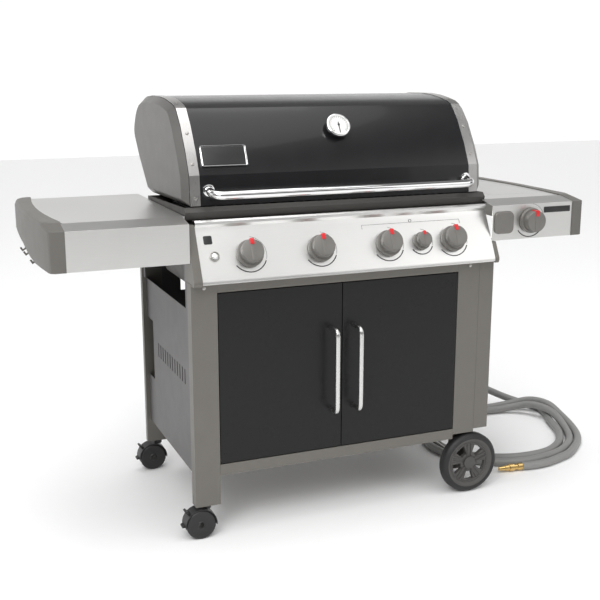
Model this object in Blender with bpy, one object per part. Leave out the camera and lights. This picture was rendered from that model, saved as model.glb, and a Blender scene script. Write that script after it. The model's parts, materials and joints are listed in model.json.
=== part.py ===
"""Gas barbecue grill on a wheeled cabinet, with two side tables and a flush side burner.

Metres, +Z up.  X runs from the left table to the right one and 0 is the gap between the doors.
While the pieces are made, Y counts backwards from the front face of the legs; at the end all of
them move by FRONT_TO_MIDDLE, so that the origin lies on the floor under the middle of the grill.
"""

import math

import bmesh
import bpy
from mathutils import Matrix, Vector

# ---------------------------------------------------------------- driving dimensions
GAP = 0.0003                  # air left between two pieces that touch
RUNNING = 0.0004              # radial clearance of a turning shaft
SHEET = 0.002                 # folded steel sheet

CABINET_LEFT = -0.446         # outer face of the left legs
CABINET_WIDTH = 0.9472        # over the left legs and the right side panel
CABINET_DEPTH = 0.5754        # front of the front legs to the back of the rear legs
LEG_WIDTH = 0.0737
LEG_DEPTH = 0.0358            # depth of the front legs
REAR_LEG_DEPTH = 0.0212
RIGHT_FILLER = 0.0492         # strip of the right side panel beside the right front leg
LEG_TOP = 0.7387
LEG_BOTTOM = 0.0963
DOOR_SILL = 0.2149            # top of the rail below the doors
RAIL_HEIGHT = 0.0324
DOOR_HEAD = 0.7101            # underside of the rail above the doors
REAR_LEG_TOP = 0.840

WHEEL_RADIUS = 0.0958
WHEEL_WIDTH = 0.036
WHEEL_X = 0.4427
WHEEL_FRONT = -0.0076
AXLE_RADIUS = 0.005
CASTER_RADIUS = 0.0427
CASTER_TRAIL = 0.022
STEM_RADIUS = 0.0055

TABLE_HEIGHT = 0.9139         # top of both side tables
TABLE_REACH = 0.830           # widest point of each end cap from the middle
TABLE_FRONT = -0.0067
TABLE_BACK = 0.585
TABLE_FACE = 0.1052           # height of the front face
TABLE_UNDER = 0.7967
CAP_BORDER = 0.7705           # front seam between the steel and an end cap
CAP_LIP = 0.0022

LID_LEFT = -0.4403
LID_RIGHT = 0.4940
LID_CAP = 0.0192              # thickness of a lid end casting
LID_SHEET = 0.003
LID_FRONT = 0.0694
LID_BOTTOM = 0.9377
LID_OPEN_HINGE = (0.480, 0.925)
TRIM_WIDTH = 0.0285
TRIM_SHEET = 0.0012
COOKBOX_RIM = 0.9345

PANEL_LEFT = -0.4209
PANEL_RIGHT = 0.4845
PANEL_TOP = (0.0285, 0.8720)  # upper edge of the slanted face
PANEL_FOOT = (-0.0323, 0.7505)
PANEL_SHEET = 0.0015
KNOB_HEIGHT = 0.810
KNOB_X = (-0.2803, -0.0713, 0.1397, 0.3506)
SEAR_KNOB_X = 0.2470
IGNITER_X = -0.3787
KNOB_RADIUS = 0.038
SMALL_KNOB_RADIUS = 0.026
KNOB_LENGTH = 0.040
KNOB_SHAFT = 0.0035

SIDE_KNOB = (0.6180, 0.852)
SIDE_BUTTON = (0.5247, 0.8496)
SIDE_BUTTON_SIZE = 0.066

BURNER_LID = (0.572, 0.762, 0.136, 0.462)   # left, right, front and back edge of the flush lid
BURNER_RADIUS = 0.011
MANIFOLD = (0.0500, 0.7825)
BURNER_HEIGHT = MANIFOLD[1]
MANIFOLD_RADIUS = 0.010

DOOR_DEPTH = 0.018
DOOR_SHEET = 0.0015
DOOR_GAP = 0.0022
DOOR_PIN = 0.003
DOOR_PIN_INSET = (0.010, 0.006)
HANDLE_RADIUS = 0.0073
HANDLE_STANDOFF = 0.052
HANDLE_TOP = 0.590
HANDLE_LENGTH = 0.258

HOSE_RADIUS = 0.0133
FITTING_LENGTH = 0.084
FRONT_TO_MIDDLE = -0.28585

# The hose's route: (x, y, z) of its middle line from the elbow to the brass fitting.  Three lanes
# lie side by side on the floor, and the second and third pass over the first in a low hump.
HOSE_ROUTE = [
    (0.362, 0.602, 0.380), (0.432, 0.602, 0.380), (0.500, 0.608, 0.366), (0.600, 0.628, 0.297),
    (0.700, 0.645, 0.215),
    (0.830, 0.660, 0.126), (0.930, 0.664, 0.074), (1.003, 0.655, 0.038), (1.052, 0.634, 0.0190),
    (1.087, 0.590, 0.0134), (1.094, 0.533, 0.0134), (1.080, 0.478, 0.0134), (1.052, 0.420, 0.0134),
    (1.027, 0.352, 0.0134), (1.000, 0.286, 0.0134), (0.938, 0.207, 0.0134), (0.850, 0.155, 0.0134),
    (0.740, 0.149, 0.0134),
    (0.650, 0.178, 0.0134), (0.575, 0.240, 0.0134), (0.540, 0.330, 0.0134), (0.562, 0.425, 0.0134),
    (0.632, 0.510, 0.0134), (0.730, 0.562, 0.0134), (0.830, 0.588, 0.0134), (0.915, 0.586, 0.0134),
    (0.985, 0.567, 0.0230), (1.036, 0.527, 0.0400), (1.062, 0.465, 0.0425), (1.066, 0.395, 0.0330),
    (1.042, 0.300, 0.0134), (0.985, 0.208, 0.0134), (0.900, 0.143, 0.0134), (0.800, 0.114, 0.0134),
    (0.710, 0.114, 0.0134), (0.620, 0.148, 0.0134), (0.542, 0.220, 0.0134), (0.508, 0.330, 0.0134),
    (0.534, 0.440, 0.0134), (0.606, 0.533, 0.0134), (0.710, 0.596, 0.0134), (0.820, 0.624, 0.0134),
    (0.923, 0.622, 0.0134), (1.000, 0.606, 0.0230), (1.066, 0.566, 0.0425), (1.102, 0.500, 0.0425),
    (1.106, 0.420, 0.0230), (1.078, 0.310, 0.0134), (1.020, 0.206, 0.0134), (0.924, 0.120, 0.0134),
    (0.863, 0.092, 0.0134), (0.800, 0.073, 0.0134), (0.745, 0.0685, 0.0134), (0.696, 0.0755, 0.0134),
]

# Side outline of the lid as (y, z): up the front, over the top and down the back.
LID_OUTLINE = [
    (LID_FRONT, LID_BOTTOM), (0.0760, 1.0189), (0.1040, 1.0770), (0.1500, 1.1490), (0.1900, 1.1920),
    (0.2120, 1.2010), (0.2499, 1.2085), (0.3000, 1.2160), (0.3553, 1.2200),
    (0.4490, 1.2195), (0.5100, 1.2150), (0.5520, 1.2050), (0.5780, 1.1900), (0.6000, 1.1700),
    (0.6220, 1.1380), (0.6310, 1.1150), (0.6280, 1.0950), (0.6190, 1.0790), (0.5690, 1.0220),
    (0.5130, 0.9720), (0.4680, LID_BOTTOM - 0.0077),
]

LEFT_LEG_INNER = CABINET_LEFT + LEG_WIDTH
CABINET_RIGHT = CABINET_LEFT + CABINET_WIDTH
RIGHT_LEG_OUTER = CABINET_RIGHT - RIGHT_FILLER
RIGHT_LEG_INNER = RIGHT_LEG_OUTER - LEG_WIDTH + 0.0009
REAR_LEG_FACE = CABINET_DEPTH - REAR_LEG_DEPTH
AXLE_HEIGHT = WHEEL_RADIUS


# ---------------------------------------------------------------- materials
def look(name, colour, roughness, metallic=0.0):
    """A plain material with one colour."""
    material = bpy.data.materials.new(name)
    material.use_nodes = True
    shader = material.node_tree.nodes["Principled BSDF"]
    shader.inputs["Base Color"].default_value = (*colour, 1.0)
    shader.inputs["Roughness"].default_value = roughness
    shader.inputs["Metallic"].default_value = metallic
    material.diffuse_color = (*colour, 1.0)
    return material


# ---------------------------------------------------------------- shaping helpers
def solid(name, points, faces, material):
    """A named closed body from its corner points and faces, with its faces turned outwards."""
    mesh = bpy.data.meshes.new(name)
    mesh.from_pydata([tuple(point) for point in points], [], faces)
    shape = bmesh.new()
    shape.from_mesh(mesh)
    bmesh.ops.recalc_face_normals(shape, faces=shape.faces)
    shape.to_mesh(mesh)
    shape.free()
    mesh.materials.append(material)
    body = bpy.data.objects.new(name, mesh)
    bpy.context.scene.collection.objects.link(body)
    return body


def loft(name, rings, material, endless=False):
    """A skin over rings of equal point counts: flat ends, or joined first to last if endless."""
    count = len(rings[0])
    points = [point for ring in rings for point in ring]
    faces = [] if endless else [list(range(count)), list(range(len(points) - count, len(points)))]
    for level in range(len(rings) if endless else len(rings) - 1):
        low = level * count
        high = (level + 1) % len(rings) * count
        for step in range(count):
            after = (step + 1) % count
            faces.append([low + step, low + after, high + after, high + step])
    return solid(name, points, faces, material)


def prism(name, outline, axis, low, high, material):
    """A closed outline pulled along one axis; the outline lies across it, in x, y, z order."""
    def place(point, level):
        point = list(point)
        point.insert("xyz".index(axis), level)
        return point
    rings = [[place(point, level) for point in outline] for level in (low, high)]
    return loft(name, rings, material)


def block(name, low, high, material):
    """A box from its lowest to its highest corner."""
    outline = [(low[0], low[1]), (high[0], low[1]), (high[0], high[1]), (low[0], high[1])]
    return prism(name, outline, "z", low[2], high[2], material)


def turned(name, profile, centre, axis, material, sides=24):
    """A body of revolution: `profile` holds (distance along the axis, radius) from end to end."""
    turn = Vector((0.0, 0.0, 1.0)).rotation_difference(Vector(axis).normalized()).to_matrix()
    points = []
    rings = []
    for along, radius in profile:
        count = sides if radius > 0.0 else 1
        rings.append(range(len(points), len(points) + count))
        for step in range(count):
            angle = 2.0 * math.pi * step / sides
            spot = Vector((radius * math.cos(angle), radius * math.sin(angle), along))
            points.append(Vector(centre) + turn @ spot)
    faces = []
    for first, second in zip(rings, rings[1:]):
        for step in range(sides):
            after = (step + 1) % sides
            corners = [first[step % len(first)], first[after % len(first)],
                       second[after % len(second)], second[step % len(second)]]
            faces.append(list(dict.fromkeys(corners)))
    for ring in (rings[0], rings[-1]):
        if len(ring) > 1:
            faces.append(list(ring))
    body = solid(name, points, faces, material)
    soften(body)
    return body


def pipe(name, route, radius, material, sides=12):
    """A round bar whose middle line runs straight from point to point, with mitred corners."""
    route = [Vector(point) for point in route]
    side = (route[1] - route[0]).orthogonal().normalized()
    rings = []
    for index, point in enumerate(route):
        before = route[index] - route[index - 1] if index else route[1] - route[0]
        after = route[index + 1] - route[index] if index + 1 < len(route) else before
        before.normalize()
        after.normalize()
        along = (before + after).normalized()
        stretch = 1.0 / max(0.3, along.dot(after))
        side = (side - along * side.dot(along)).normalized()
        other = along.cross(side)
        bend = (after - before)
        bend = bend.normalized() if bend.length > 1e-6 else side
        ring = []
        for step in range(sides):
            angle = 2.0 * math.pi * step / sides
            spot = radius * (math.cos(angle) * side + math.sin(angle) * other)
            ring.append(point + spot + bend * spot.dot(bend) * (stretch - 1.0))
        rings.append(ring)
    body = loft(name, rings, material)
    soften(body)
    return body


def soften(body, angle=35.0):
    """Smooth shading on round faces, with sharp edges kept."""
    body.data.shade_smooth()
    body.data.set_sharp_from_angle(angle=math.radians(angle))


def boolean(body, other, operation):
    """Cuts `other` from `body` or joins it to `body`, and leaves one plain mesh."""
    bpy.context.view_layer.update()
    modifier = body.modifiers.new("shape", "BOOLEAN")
    modifier.operation = operation
    modifier.solver = "EXACT"
    modifier.object = other
    graph = bpy.context.evaluated_depsgraph_get()
    shaped = bpy.data.meshes.new_from_object(body.evaluated_get(graph))
    body.modifiers.remove(modifier)
    body.data = shaped
    bpy.data.objects.remove(other)


def cut(body, cutter):
    boolean(body, cutter, "DIFFERENCE")


def join(body, other):
    boolean(body, other, "UNION")


def bore(body, centre, axis, radius, length, sides=16):
    """A round hole through `body`; the centre is the middle of its length."""
    profile = [(-length / 2, radius), (length / 2, radius)]
    cut(body, turned("bore", profile, centre, axis, body.data.materials[0], sides))


def open_box(name, low, high, wall, side, material):
    """A box with one open side, such as "+z", and walls of one thickness."""
    body = block(name, low, high, material)
    inner_low = [value + wall for value in low]
    inner_high = [value - wall for value in high]
    index = "xyz".index(side[1])
    if side[0] == "+":
        inner_high[index] = high[index] + wall
    else:
        inner_low[index] = low[index] - wall
    cut(body, block("pocket", inner_low, inner_high, material))
    return body


def shift_path(path, distance, closed=False):
    """The same outline moved sideways by `distance`, with mitred corners."""
    path = [Vector(point) for point in path]
    moved = []
    for index, point in enumerate(path):
        last = index - 1 if index or closed else None
        following = (index + 1) % len(path) if index + 1 < len(path) or closed else None
        before = (point - path[last]).normalized() if last is not None else None
        after = (path[following] - point).normalized() if following is not None else None
        before = before or after
        after = after or before
        normal_one = Vector((-before.y, before.x))
        normal_two = Vector((-after.y, after.x))
        middle = (normal_one + normal_two).normalized()
        moved.append(point + middle * distance / max(0.4, middle.dot(normal_one)))
    return moved


def folded(name, path, thickness, axis, low, high, material):
    """Sheet metal folded along an open path and pulled along an axis."""
    outline = [Vector(point) for point in path] + list(reversed(shift_path(path, thickness)))
    return prism(name, outline, axis, low, high, material)


def smooth_line(route, step):
    """Evenly spaced points on the smooth curve through all the points of a route."""
    route = [Vector(point) for point in route]
    ends = [2.0 * route[0] - route[1]] + route + [2.0 * route[-1] - route[-2]]
    fine = []
    for index in range(1, len(ends) - 2):
        before, start, end, after = ends[index - 1:index + 3]
        for part in range(24):
            t = part / 24.0
            fine.append(0.5 * (2.0 * start + (end - before) * t
                               + (2.0 * before - 5.0 * start + 4.0 * end - after) * t ** 2
                               + (3.0 * start - before - 3.0 * end + after) * t ** 3))
    fine.append(route[-1])
    length = sum((b - a).length for a, b in zip(fine, fine[1:]))
    count = round(length / step)
    spaced = [fine[0]]
    travelled = 0.0
    for first, second in zip(fine, fine[1:]):
        reach = travelled + (second - first).length
        while len(spaced) < count and len(spaced) * length / count <= reach:
            share = (len(spaced) * length / count - travelled) / (reach - travelled)
            spaced.append(first.lerp(second, share))
        travelled = reach
    spaced.append(fine[-1])
    return spaced


def pivot(name, place):
    """An empty on a joint's axis, which carries the moving pieces."""
    empty = bpy.data.objects.new(name, None)
    empty.location = place
    bpy.context.scene.collection.objects.link(empty)
    return empty


def hang(body, empty):
    """Parents a piece to its joint's empty and gives the piece the same origin."""
    if body.parent is None:
        body.data.transform(Matrix.Translation(-empty.location))
        body.parent = empty


def rounded_rectangle(centre, width, height, radius, steps=4):
    """Corner points of a rectangle with round corners, anticlockwise."""
    points = []
    corners = [(1, 1, 0), (-1, 1, 90), (-1, -1, 180), (1, -1, 270)]
    for across, up, start in corners:
        middle = (centre[0] + across * (width / 2 - radius), centre[1] + up * (height / 2 - radius))
        for step in range(steps + 1):
            angle = math.radians(start + 90.0 * step / steps)
            points.append((middle[0] + radius * math.cos(angle), middle[1] + radius * math.sin(angle)))
    return points


def slab(name, centre, sides, size, material):
    """A box set along three directions, given by its centre and full size."""
    outline = [(-1, -1), (1, -1), (1, 1), (-1, 1)]
    rings = []
    for level in (-0.5, 0.5):
        rings.append([Vector(centre) + Vector(sides[0]) * size[0] * across / 2
                      + Vector(sides[1]) * size[1] * up / 2 + Vector(sides[2]) * size[2] * level
                      for across, up in outline])
    return loft(name, rings, material)


def boxes(name, corners, material):
    """Several separate boxes in one object, for cutting."""
    points = []
    faces = []
    for low, high in corners:
        start = len(points)
        for z in (low[2], high[2]):
            points += [(low[0], low[1], z), (high[0], low[1], z), (high[0], high[1], z), (low[0], high[1], z)]
        for quad in ((0, 3, 2, 1), (4, 5, 6, 7), (0, 1, 5, 4), (1, 2, 6, 5), (2, 3, 7, 6), (3, 0, 4, 7)):
            faces.append([start + corner for corner in quad])
    return solid(name, points, faces, material)


def sector(centre, inner, outer, start, end, steps):
    """Outline of a piece of a flat ring between two angles in degrees."""
    angles = [math.radians(start + (end - start) * step / steps) for step in range(steps + 1)]
    outline = [(centre[0] + outer * math.cos(angle), centre[1] + outer * math.sin(angle)) for angle in angles]
    outline += [(centre[0] + inner * math.cos(angle), centre[1] + inner * math.sin(angle))
                for angle in reversed(angles)]
    return outline


# ---------------------------------------------------------------- cart
SIDE_PANEL_TOP = 0.650
SIDE_PANEL_FOOT = 0.172
SIDE_PANEL_INSET = 0.0135     # left side panel behind the outer face of the legs
REAR_LEG_WIDTH = 0.0647
SOCKET_HEIGHT = 0.030
WHEEL_GAP = 0.005             # air between a wheel and the leg above it
BRACKET = 0.004               # thickness of an axle bracket
BRACKET_HALF = 0.0148
FRAME_PLATE = 0.002
FRAME_TOP = 0.865
LEFT_FRAME_X = CABINET_LEFT + 2 * SHEET + 2 * GAP + 0.0001
RIGHT_FRAME_X = CABINET_RIGHT - SHEET - GAP - FRAME_PLATE
BACK_PANEL_TOP = 0.800
WHEEL_LEG_FOOT = 2 * WHEEL_RADIUS + WHEEL_GAP
FRONT_BRACKET_Y = LEG_DEPTH - 0.001
REAR_BRACKET_Y = REAR_LEG_FACE + 0.001 - BRACKET
SHELF_BACK = REAR_BRACKET_Y - GAP
CASTER_X = CABINET_LEFT + LEG_WIDTH / 2
FRONT_CASTER_Y = LEG_DEPTH / 2
REAR_CASTER_Y = REAR_LEG_FACE + REAR_LEG_DEPTH / 2


def make_left_legs(paint):
    """Two folded legs with a bored plug in each foot for a caster's stem."""
    front = folded("front_left_leg", [(CABINET_LEFT, LEG_DEPTH), (CABINET_LEFT, 0.0), (LEFT_LEG_INNER, 0.0),
                                      (LEFT_LEG_INNER, LEG_DEPTH * 0.6)], SHEET, "z", LEG_BOTTOM, LEG_TOP, paint)
    rear_inner = CABINET_LEFT + REAR_LEG_WIDTH
    rear = folded("rear_left_leg", [(CABINET_LEFT, CABINET_DEPTH), (CABINET_LEFT, REAR_LEG_FACE),
                                    (rear_inner, REAR_LEG_FACE), (rear_inner, CABINET_DEPTH)],
                  SHEET, "z", LEG_BOTTOM, REAR_LEG_TOP, paint)
    for leg, inner, middle, depth in ((front, LEFT_LEG_INNER, FRONT_CASTER_Y, LEG_DEPTH),
                                      (rear, rear_inner, REAR_CASTER_Y, REAR_LEG_DEPTH)):
        low = (CABINET_LEFT + SHEET / 2, middle - depth / 2 + SHEET / 2, LEG_BOTTOM)
        high = (inner - SHEET / 2, middle + depth / 2 - SHEET, LEG_BOTTOM + SOCKET_HEIGHT)
        join(leg, block("plug", low, high, paint))
        bore(leg, (CASTER_X, middle, LEG_BOTTOM + SOCKET_HEIGHT / 2), (0, 0, 1),
             STEM_RADIUS + RUNNING, 2 * SOCKET_HEIGHT)


def make_right_legs(paint):
    """Two shorter legs that end above the wheels, each with a plate that carries the axle."""
    front = folded("front_right_leg", [(RIGHT_LEG_INNER, LEG_DEPTH), (RIGHT_LEG_INNER, 0.0),
                                       (RIGHT_LEG_OUTER, 0.0), (RIGHT_LEG_OUTER, LEG_DEPTH)],
                   SHEET, "z", WHEEL_LEG_FOOT, LEG_TOP, paint)
    rear = folded("rear_right_leg", [(RIGHT_LEG_OUTER - REAR_LEG_WIDTH, CABINET_DEPTH),
                                     (RIGHT_LEG_OUTER - REAR_LEG_WIDTH, REAR_LEG_FACE),
                                     (RIGHT_LEG_OUTER, REAR_LEG_FACE), (RIGHT_LEG_OUTER, CABINET_DEPTH)],
                  SHEET, "z", WHEEL_LEG_FOOT, REAR_LEG_TOP, paint)
    for leg, start in ((front, FRONT_BRACKET_Y), (rear, REAR_BRACKET_Y)):
        low = (RIGHT_LEG_OUTER - REAR_LEG_WIDTH, start, AXLE_HEIGHT - 0.030)
        high = (WHEEL_X + BRACKET_HALF, start + BRACKET, WHEEL_LEG_FOOT + 0.110)
        join(leg, block("bracket", low, high, paint))
        bore(leg, (WHEEL_X, start + BRACKET / 2, AXLE_HEIGHT), (0, 1, 0), AXLE_RADIUS + RUNNING, 4 * BRACKET)


def door_pin_place(side):
    """Middle of a door's hinge pin in plan; side is -1 for the left door and 1 for the right."""
    edge = (LEFT_LEG_INNER + DOOR_GAP) if side < 0 else (RIGHT_LEG_INNER - DOOR_GAP)
    return (edge - side * DOOR_PIN_INSET[0], DOOR_PIN_INSET[1])


def make_cabinet(paint, side_paint):
    """Rails, shelf and the panels round the cabinet."""
    left = LEFT_LEG_INNER + GAP
    right = RIGHT_LEG_INNER - GAP
    rail_top = LEG_TOP - 0.0004
    rail = folded("front_top_rail", [(0.030, rail_top), (0.0, rail_top), (0.0, DOOR_HEAD), (0.030, DOOR_HEAD)],
                  SHEET, "x", left, right, paint)
    foot = DOOR_SILL - RAIL_HEIGHT
    shelf = folded("bottom_shelf", [(SHELF_BACK, foot), (SHELF_BACK, DOOR_SILL), (0.0, DOOR_SILL), (0.0, foot),
                                    (0.020, foot)], SHEET, "x", left, right, paint)
    wing_front = FRONT_BRACKET_Y + BRACKET + 0.0007
    for start, end in ((CABINET_LEFT + SIDE_PANEL_INSET + SHEET + GAP, left + 0.001),
                       (right - 0.001, CABINET_RIGHT - SHEET - GAP)):
        join(shelf, block("wing", (start, wing_front, DOOR_SILL - SHEET), (end, SHELF_BACK, DOOR_SILL), paint))
    for side in (-1, 1):
        pin = door_pin_place(side)
        for piece, level in ((rail, DOOR_HEAD), (shelf, DOOR_SILL)):
            bore(piece, (*pin, level), (0, 0, 1), DOOR_PIN + RUNNING, 3 * SHEET)

    back = block("back_panel", (CABINET_LEFT + REAR_LEG_WIDTH + GAP, REAR_LEG_FACE + GAP, DOOR_SILL - 0.002),
                 (RIGHT_LEG_OUTER - REAR_LEG_WIDTH - GAP, REAR_LEG_FACE + GAP + SHEET, BACK_PANEL_TOP), side_paint)
    bore(back, (HOSE_INLET[0], REAR_LEG_FACE, HOSE_INLET[1]), (0, 1, 0), SUPPLY_RADIUS + RUNNING, 0.02)
    cut(back, block("tray_slot", (TRAY_LEFT - 0.0165, REAR_LEG_FACE - 0.01, 0.600),
                    (TRAY_RIGHT + 0.0165, REAR_LEG_FACE + 0.01, 0.660), side_paint))
    for start in (-0.30, -0.06, 0.18):
        cut(back, boxes("vents", [((start + 0.02 * step, REAR_LEG_FACE - 0.01, 0.45),
                                   (start + 0.02 * step + 0.007, REAR_LEG_FACE + 0.01, 0.50))
                                  for step in range(6)], side_paint))


def make_left_side_panel(paint):
    """Side panel between the left legs, with a row of louvre slots and a notch at the rear edge."""
    outer = CABINET_LEFT + SIDE_PANEL_INSET
    panel = block("left_side_panel", (outer, SHEET + GAP, SIDE_PANEL_FOOT),
                  (outer + SHEET, REAR_LEG_FACE - GAP, SIDE_PANEL_TOP), paint)
    cut(panel, block("notch", (outer - 0.01, 0.485, 0.332), (outer + 0.01, REAR_LEG_FACE + 0.01, 0.523), paint))
    slot_first = 0.124
    slot_pitch = 0.0268
    cut(panel, boxes("slots", [((outer - 0.01, slot_first + slot_pitch * step, 0.4225),
                                (outer + 0.01, slot_first + slot_pitch * step + 0.008, 0.4660))
                               for step in range(12)], paint))


def make_right_side_panel(paint):
    """Side sheet with the filler strip beside the right leg, and the end cap above it."""
    rear_seam = WHEEL_X + BRACKET_HALF + GAP
    panel = folded("right_side_panel", [(RIGHT_LEG_OUTER + GAP, 0.0), (CABINET_RIGHT, 0.0),
                                        (CABINET_RIGHT, REAR_LEG_FACE - GAP), (rear_seam, REAR_LEG_FACE - GAP)],
                   SHEET, "z", WHEEL_LEG_FOOT + 0.0094, LEG_TOP - GAP, paint)
    cut(panel, block("side_opening", (CABINET_RIGHT - 0.03, 0.075, SIDE_PANEL_TOP),
                     (CABINET_RIGHT + 0.01, 0.528, LEG_TOP + 0.01), paint))
    return panel


def make_side_frames(paint):
    """Inverted U plates between the legs, which carry the cookbox and the tables."""
    front = 0.008
    back = REAR_LEG_FACE - 2 * GAP - SHEET
    for name, start, foot in (("left_side_frame", LEFT_FRAME_X, SIDE_PANEL_TOP + 0.005),
                              ("right_side_frame", RIGHT_FRAME_X, 0.45)):
        outline = [(front, foot), (0.070, foot), (0.070, 0.7345), (0.0795, 0.7345), (0.0795, 0.810),
                   (0.530, 0.810), (0.530, foot), (back, foot), (back, FRAME_TOP), (0.0575, FRAME_TOP),
                   (0.0575, 0.7345), (front, 0.7345)]
        frame = prism(name, outline, "x", start, start + FRAME_PLATE, paint)
        if name == "left_side_frame":
            join(frame, block("front_pad", (CABINET_LEFT + SHEET + GAP, 0.009, foot + 0.001),
                              (start + 0.001, 0.034, 0.7335), paint))
            join(frame, block("rear_pad", (start + 0.0002, back - 0.010, foot + 0.001),
                              (start + FRAME_PLATE - 0.0002, REAR_LEG_FACE - GAP, 0.830), paint))


# ---------------------------------------------------------------- wheels and casters
def make_wheel(name, face, inward, seat, rubber):
    """A spoked wheel: `face` is its outer side, `seat` the plate that its hub runs against."""
    empty = pivot(name + "_axis", (WHEEL_X, face, AXLE_HEIGHT))
    width = WHEEL_WIDTH
    hub = abs(seat - face) - RUNNING
    hole = AXLE_RADIUS + RUNNING
    profile = [(0.005, 0.0), (0.005, 0.015), (0.009, 0.017), (0.009, 0.064), (0.004, 0.072), (0.0, 0.080),
               (0.0, 0.087), (0.004, WHEEL_RADIUS - 0.003), (0.010, WHEEL_RADIUS),
               (width - 0.010, WHEEL_RADIUS), (width - 0.004, WHEEL_RADIUS - 0.003), (width, 0.087),
               (width, 0.080), (width - 0.010, 0.072), (width - 0.014, 0.064), (width - 0.014, 0.020),
               (hub, 0.014), (hub, hole), (0.010, hole), (0.010, 0.0)]
    wheel = turned(name, profile, (WHEEL_X, face, AXLE_HEIGHT), (0, inward, 0), rubber, 40)
    for spoke in range(5):
        middle = 90.0 + 36.0 + 72.0 * spoke
        outline = sector((WHEEL_X, AXLE_HEIGHT), 0.030, 0.058, middle - 17.0, middle + 17.0, 3)
        cut(wheel, prism("window", outline, "y", face - 0.05, face + 0.05, rubber))
    hang(wheel, empty)


def make_axle(steel):
    """One rod through both brackets, into both hubs."""
    start = WHEEL_FRONT + 0.0105
    end = REAR_WHEEL_FACE - 0.0105
    turned("wheel_axle", [(0.0, 0.0), (0.0, AXLE_RADIUS), (end - start, AXLE_RADIUS), (end - start, 0.0)],
           (WHEEL_X, start, AXLE_HEIGHT), (0, 1, 0), steel, 12)


REAR_WHEEL_FACE = REAR_BRACKET_Y + BRACKET + WHEEL_WIDTH + 0.0035


def make_caster(name, middle_y, plastic):
    """A twin wheel caster: hooded fork with brake tabs, and two discs on one hub."""
    swivel = pivot(name + "_swivel_axis", (CASTER_X, middle_y, LEG_BOTTOM))
    wheel_x = CASTER_X - CASTER_TRAIL
    centre = (wheel_x, CASTER_RADIUS)
    half = 0.0205
    web = 0.005
    hood_inner = CASTER_RADIUS + 0.0015
    hood_outer = CASTER_RADIUS + 0.0040
    fork = prism(name + "_fork", sector(centre, hood_inner, hood_outer, -5.0, 185.0, 14), "y",
                 middle_y - half, middle_y + half, plastic)
    join(fork, prism("web", sector(centre, 0.0005, hood_outer - 0.001, 8.0, 172.0, 12), "y",
                     middle_y - web, middle_y + web, plastic))
    join(fork, turned("hub", [(0.0, 0.0), (0.0, 0.011), (2 * web, 0.011), (2 * web, 0.0)],
                      (wheel_x, middle_y - web, CASTER_RADIUS), (0, 1, 0), plastic, 16))
    join(fork, turned("stem", [(0.0, 0.0), (0.0, 0.012), (0.0094, 0.012), (0.0094, STEM_RADIUS),
                               (0.034, STEM_RADIUS), (0.034, 0.0)],
                      (CASTER_X, middle_y, LEG_BOTTOM - 0.0100), (0, 0, 1), plastic, 16))
    for outline in ([(-0.034, 0.029), (-0.046, 0.043), (-0.041, 0.046), (-0.028, 0.035)],
                    [(-0.0450, 0.004), (-0.0540, 0.001), (-0.0540, -0.004), (-0.0450, -0.0035)]):
        place = [(wheel_x + across, CASTER_RADIUS + up) for across, up in outline]
        join(fork, prism("tab", place, "y", middle_y - 0.011, middle_y + 0.011, plastic))
    bore(fork, (wheel_x, middle_y, CASTER_RADIUS), (0, 1, 0), 0.0045, 4 * web)
    hang(fork, swivel)

    axis = pivot(name + "_wheel_axis", (wheel_x, middle_y, CASTER_RADIUS))
    inner = web + 0.001
    rim = CASTER_RADIUS
    profile = [(-half, 0.0), (-half, 0.010), (-half + 0.002, 0.012), (-half + 0.002, 0.028),
               (-half, 0.031), (-half, rim - 0.003), (-half + 0.003, rim), (-inner, rim), (-inner, 0.0041),
               (inner, 0.0041), (inner, rim), (half - 0.003, rim), (half, rim - 0.003), (half, 0.031),
               (half - 0.002, 0.028), (half - 0.002, 0.012), (half, 0.010), (half, 0.0)]
    discs = turned(name + "_wheel", profile, (wheel_x, middle_y, CASTER_RADIUS), (0, 1, 0), plastic, 28)
    hang(discs, axis)


# ---------------------------------------------------------------- cookbox and gas line
HOSE_INLET = (0.330, 0.380)   # x and z where the gas line passes the back panel
SUPPLY_RADIUS = 0.0065
BURNERS = [*KNOB_X, SEAR_KNOB_X]
COOKBOX_LEFT = LEFT_FRAME_X + FRAME_PLATE + GAP
COOKBOX_RIGHT = RIGHT_FRAME_X - GAP
GRATE_LEDGE = 0.897
BAR_LEDGE = 0.850
COOKBOX_FLOOR = 0.655
DRAIN = (-0.276, 0.326, 0.194, 0.336)
HINGE_X = (-0.340, 0.345)
HINGE_PIN = 0.004
TRAY_TOP = 0.650
TRAY_LEFT = -0.3035
TRAY_RIGHT = 0.3535


def rectangle(left, right, front, back, front_level, back_level):
    return [(left, front, front_level), (right, front, front_level),
            (right, back, back_level), (left, back, back_level)]


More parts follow.
